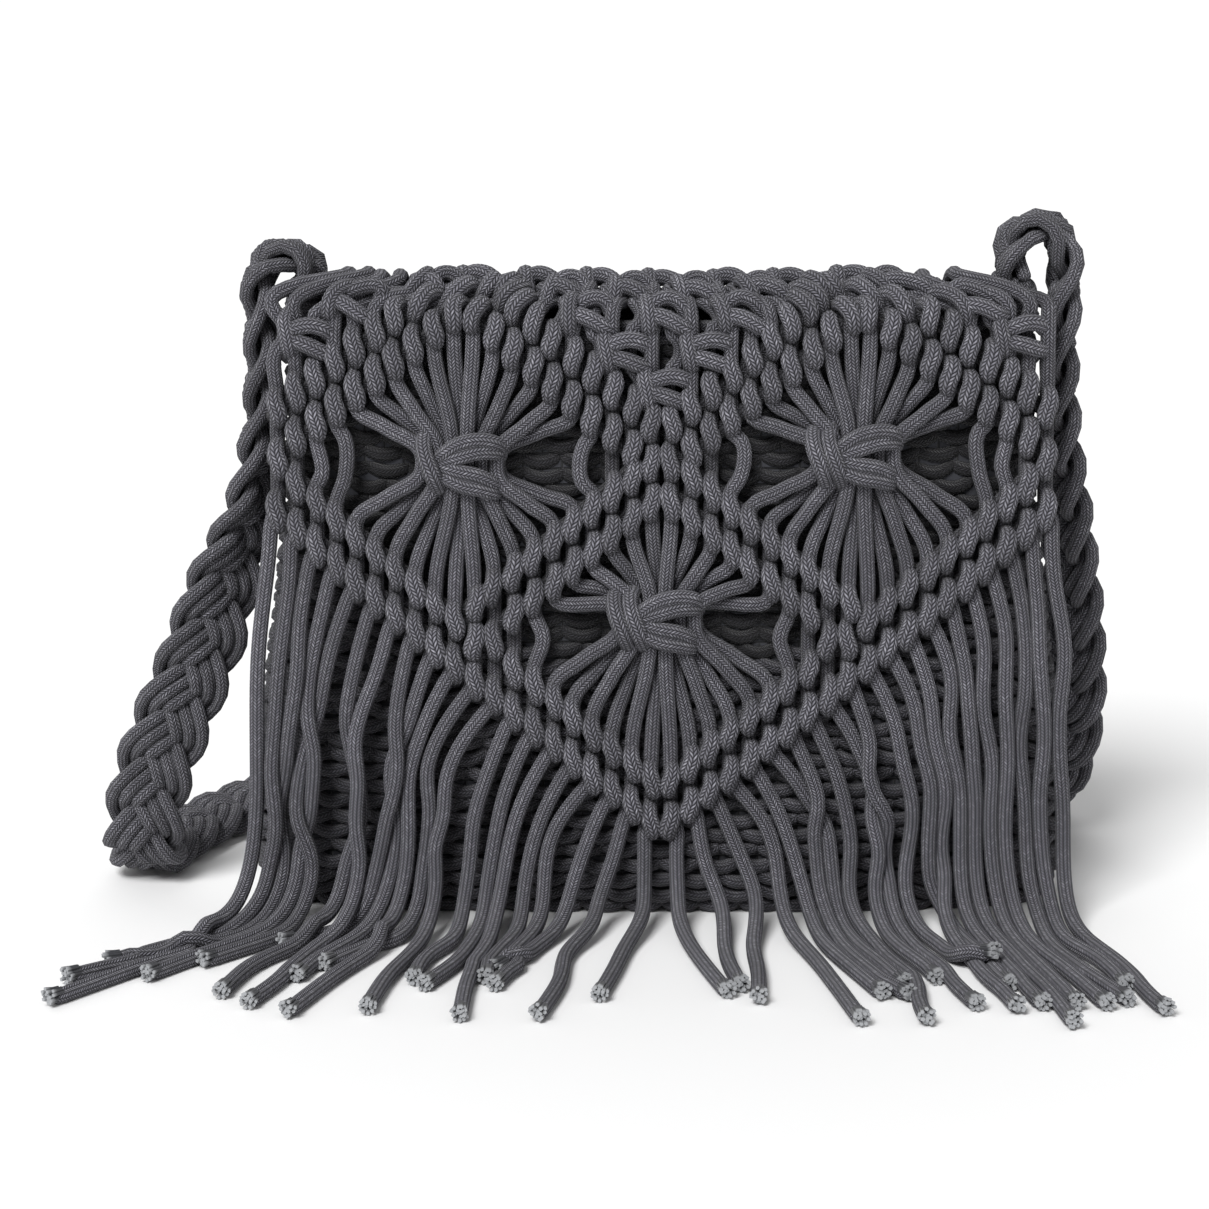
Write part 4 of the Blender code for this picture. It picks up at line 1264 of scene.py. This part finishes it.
# Strap knots: turns of cord that bind each end of the strap to the rim's corner
strapKnot = {
    "halfAcross": 8.5 * mm,
    "halfDeep": 12.9 * mm,
    "squareness": 0.7,
    "radius": 2.1 * mm,
    "turns": 2,
    "firstTurn": 2.3 * mm,  # above the rim's corner
    "turnPitch": 3.9 * mm,
    "turnTilt": 1.2 * mm,
    "overlap": 1.04,  # each turn goes a little more than once round
    "coreAcross": 3.9 * mm,  # steps of the cords that stand inside the turns
    "coreDeep": 4.1 * mm,
    "coreStart": 3 * mm,  # below the rim's corner
    "sides": 10,
}


def makeStrapKnot(name, side):
    rng = np.random.default_rng(41)
    radius = strapKnot["radius"]
    angle = np.linspace(0, math.tau * strapKnot["overlap"], 40)
    across, deep = squaredRound(angle, strapKnot["squareness"])
    x = side * strapRoot + (strapKnot["halfAcross"] - radius) * across
    y = strap["setback"] + (strapKnot["halfDeep"] - radius) * deep
    cords = []
    for k in range(strapKnot["turns"]):
        z = pouch["height"] + strapKnot["firstTurn"] + k * strapKnot["turnPitch"]
        points = np.stack([x, y, z + strapKnot["turnTilt"] * np.sin(angle)], axis=1)
        cords.append(makeCord(evenly(points, 2.4 * mm), radius, rng.uniform(*strap["tone"])))
    low = pouch["height"] - strapKnot["coreStart"]
    for i in (-1, 0, 1):
        for j in (-2, -1, 0, 1, 2):
            foot = (side * strapRoot + i * strapKnot["coreAcross"],
                    strap["setback"] + j * strapKnot["coreDeep"])
            core = [(*foot, z) for z in np.linspace(low, strapFoot, 6)]
            cords.append(makeCord(core, radius, 0.4))
    node = "strap_knot_" + name
    cordsPiece = sweepCords(node + "_cords", cords, strapKnot["sides"], strapCotton)
    dress(cordsPiece, "strap_cord", node)


for knotName, knotSide in (("left", -1), ("right", 1)):
    makeStrapKnot(knotName, knotSide)
print("strap made")


# Stage and light: a white table, a large soft light over the camera's left and a weak one behind
studio = {
    "tableSize": 12,
    "table": {"Base Color": (0.93, 0.93, 0.93, 1), "Roughness": 0.9},
    "suns": {  # power, width, tilt from straight down and turn, in degrees
        "softbox": (3.1, 24, 45, -24),
        "reflector": (0.5, 60, -50, 15),
    },
    "sky": (1, 1, 1, 1),
    "skyPower": 0.36,
}


def addTable():
    bpy.ops.mesh.primitive_plane_add(size=studio["tableSize"])
    table = bpy.context.object
    table.name = "table"
    table.data.materials.append(newMaterial("white painted table", studio["table"])[0])


def addLight():
    scene = bpy.context.scene
    for name, (power, width, tilt, turn) in studio["suns"].items():
        sun = bpy.data.lights.new(name, "SUN")
        sun.energy = power
        sun.angle = math.radians(width)
        obj = bpy.data.objects.new(name, sun)
        obj.rotation_euler = (math.radians(tilt), 0, math.radians(turn))
        scene.collection.objects.link(obj)
    sky = bpy.data.worlds.new("studio")
    sky.use_nodes = True
    background = sky.node_tree.nodes["Background"]
    background.inputs["Color"].default_value = studio["sky"]
    background.inputs["Strength"].default_value = studio["skyPower"]
    scene.world = sky
    scene.view_settings.view_transform = "Standard"


addTable()
addLight()
print("stage set")
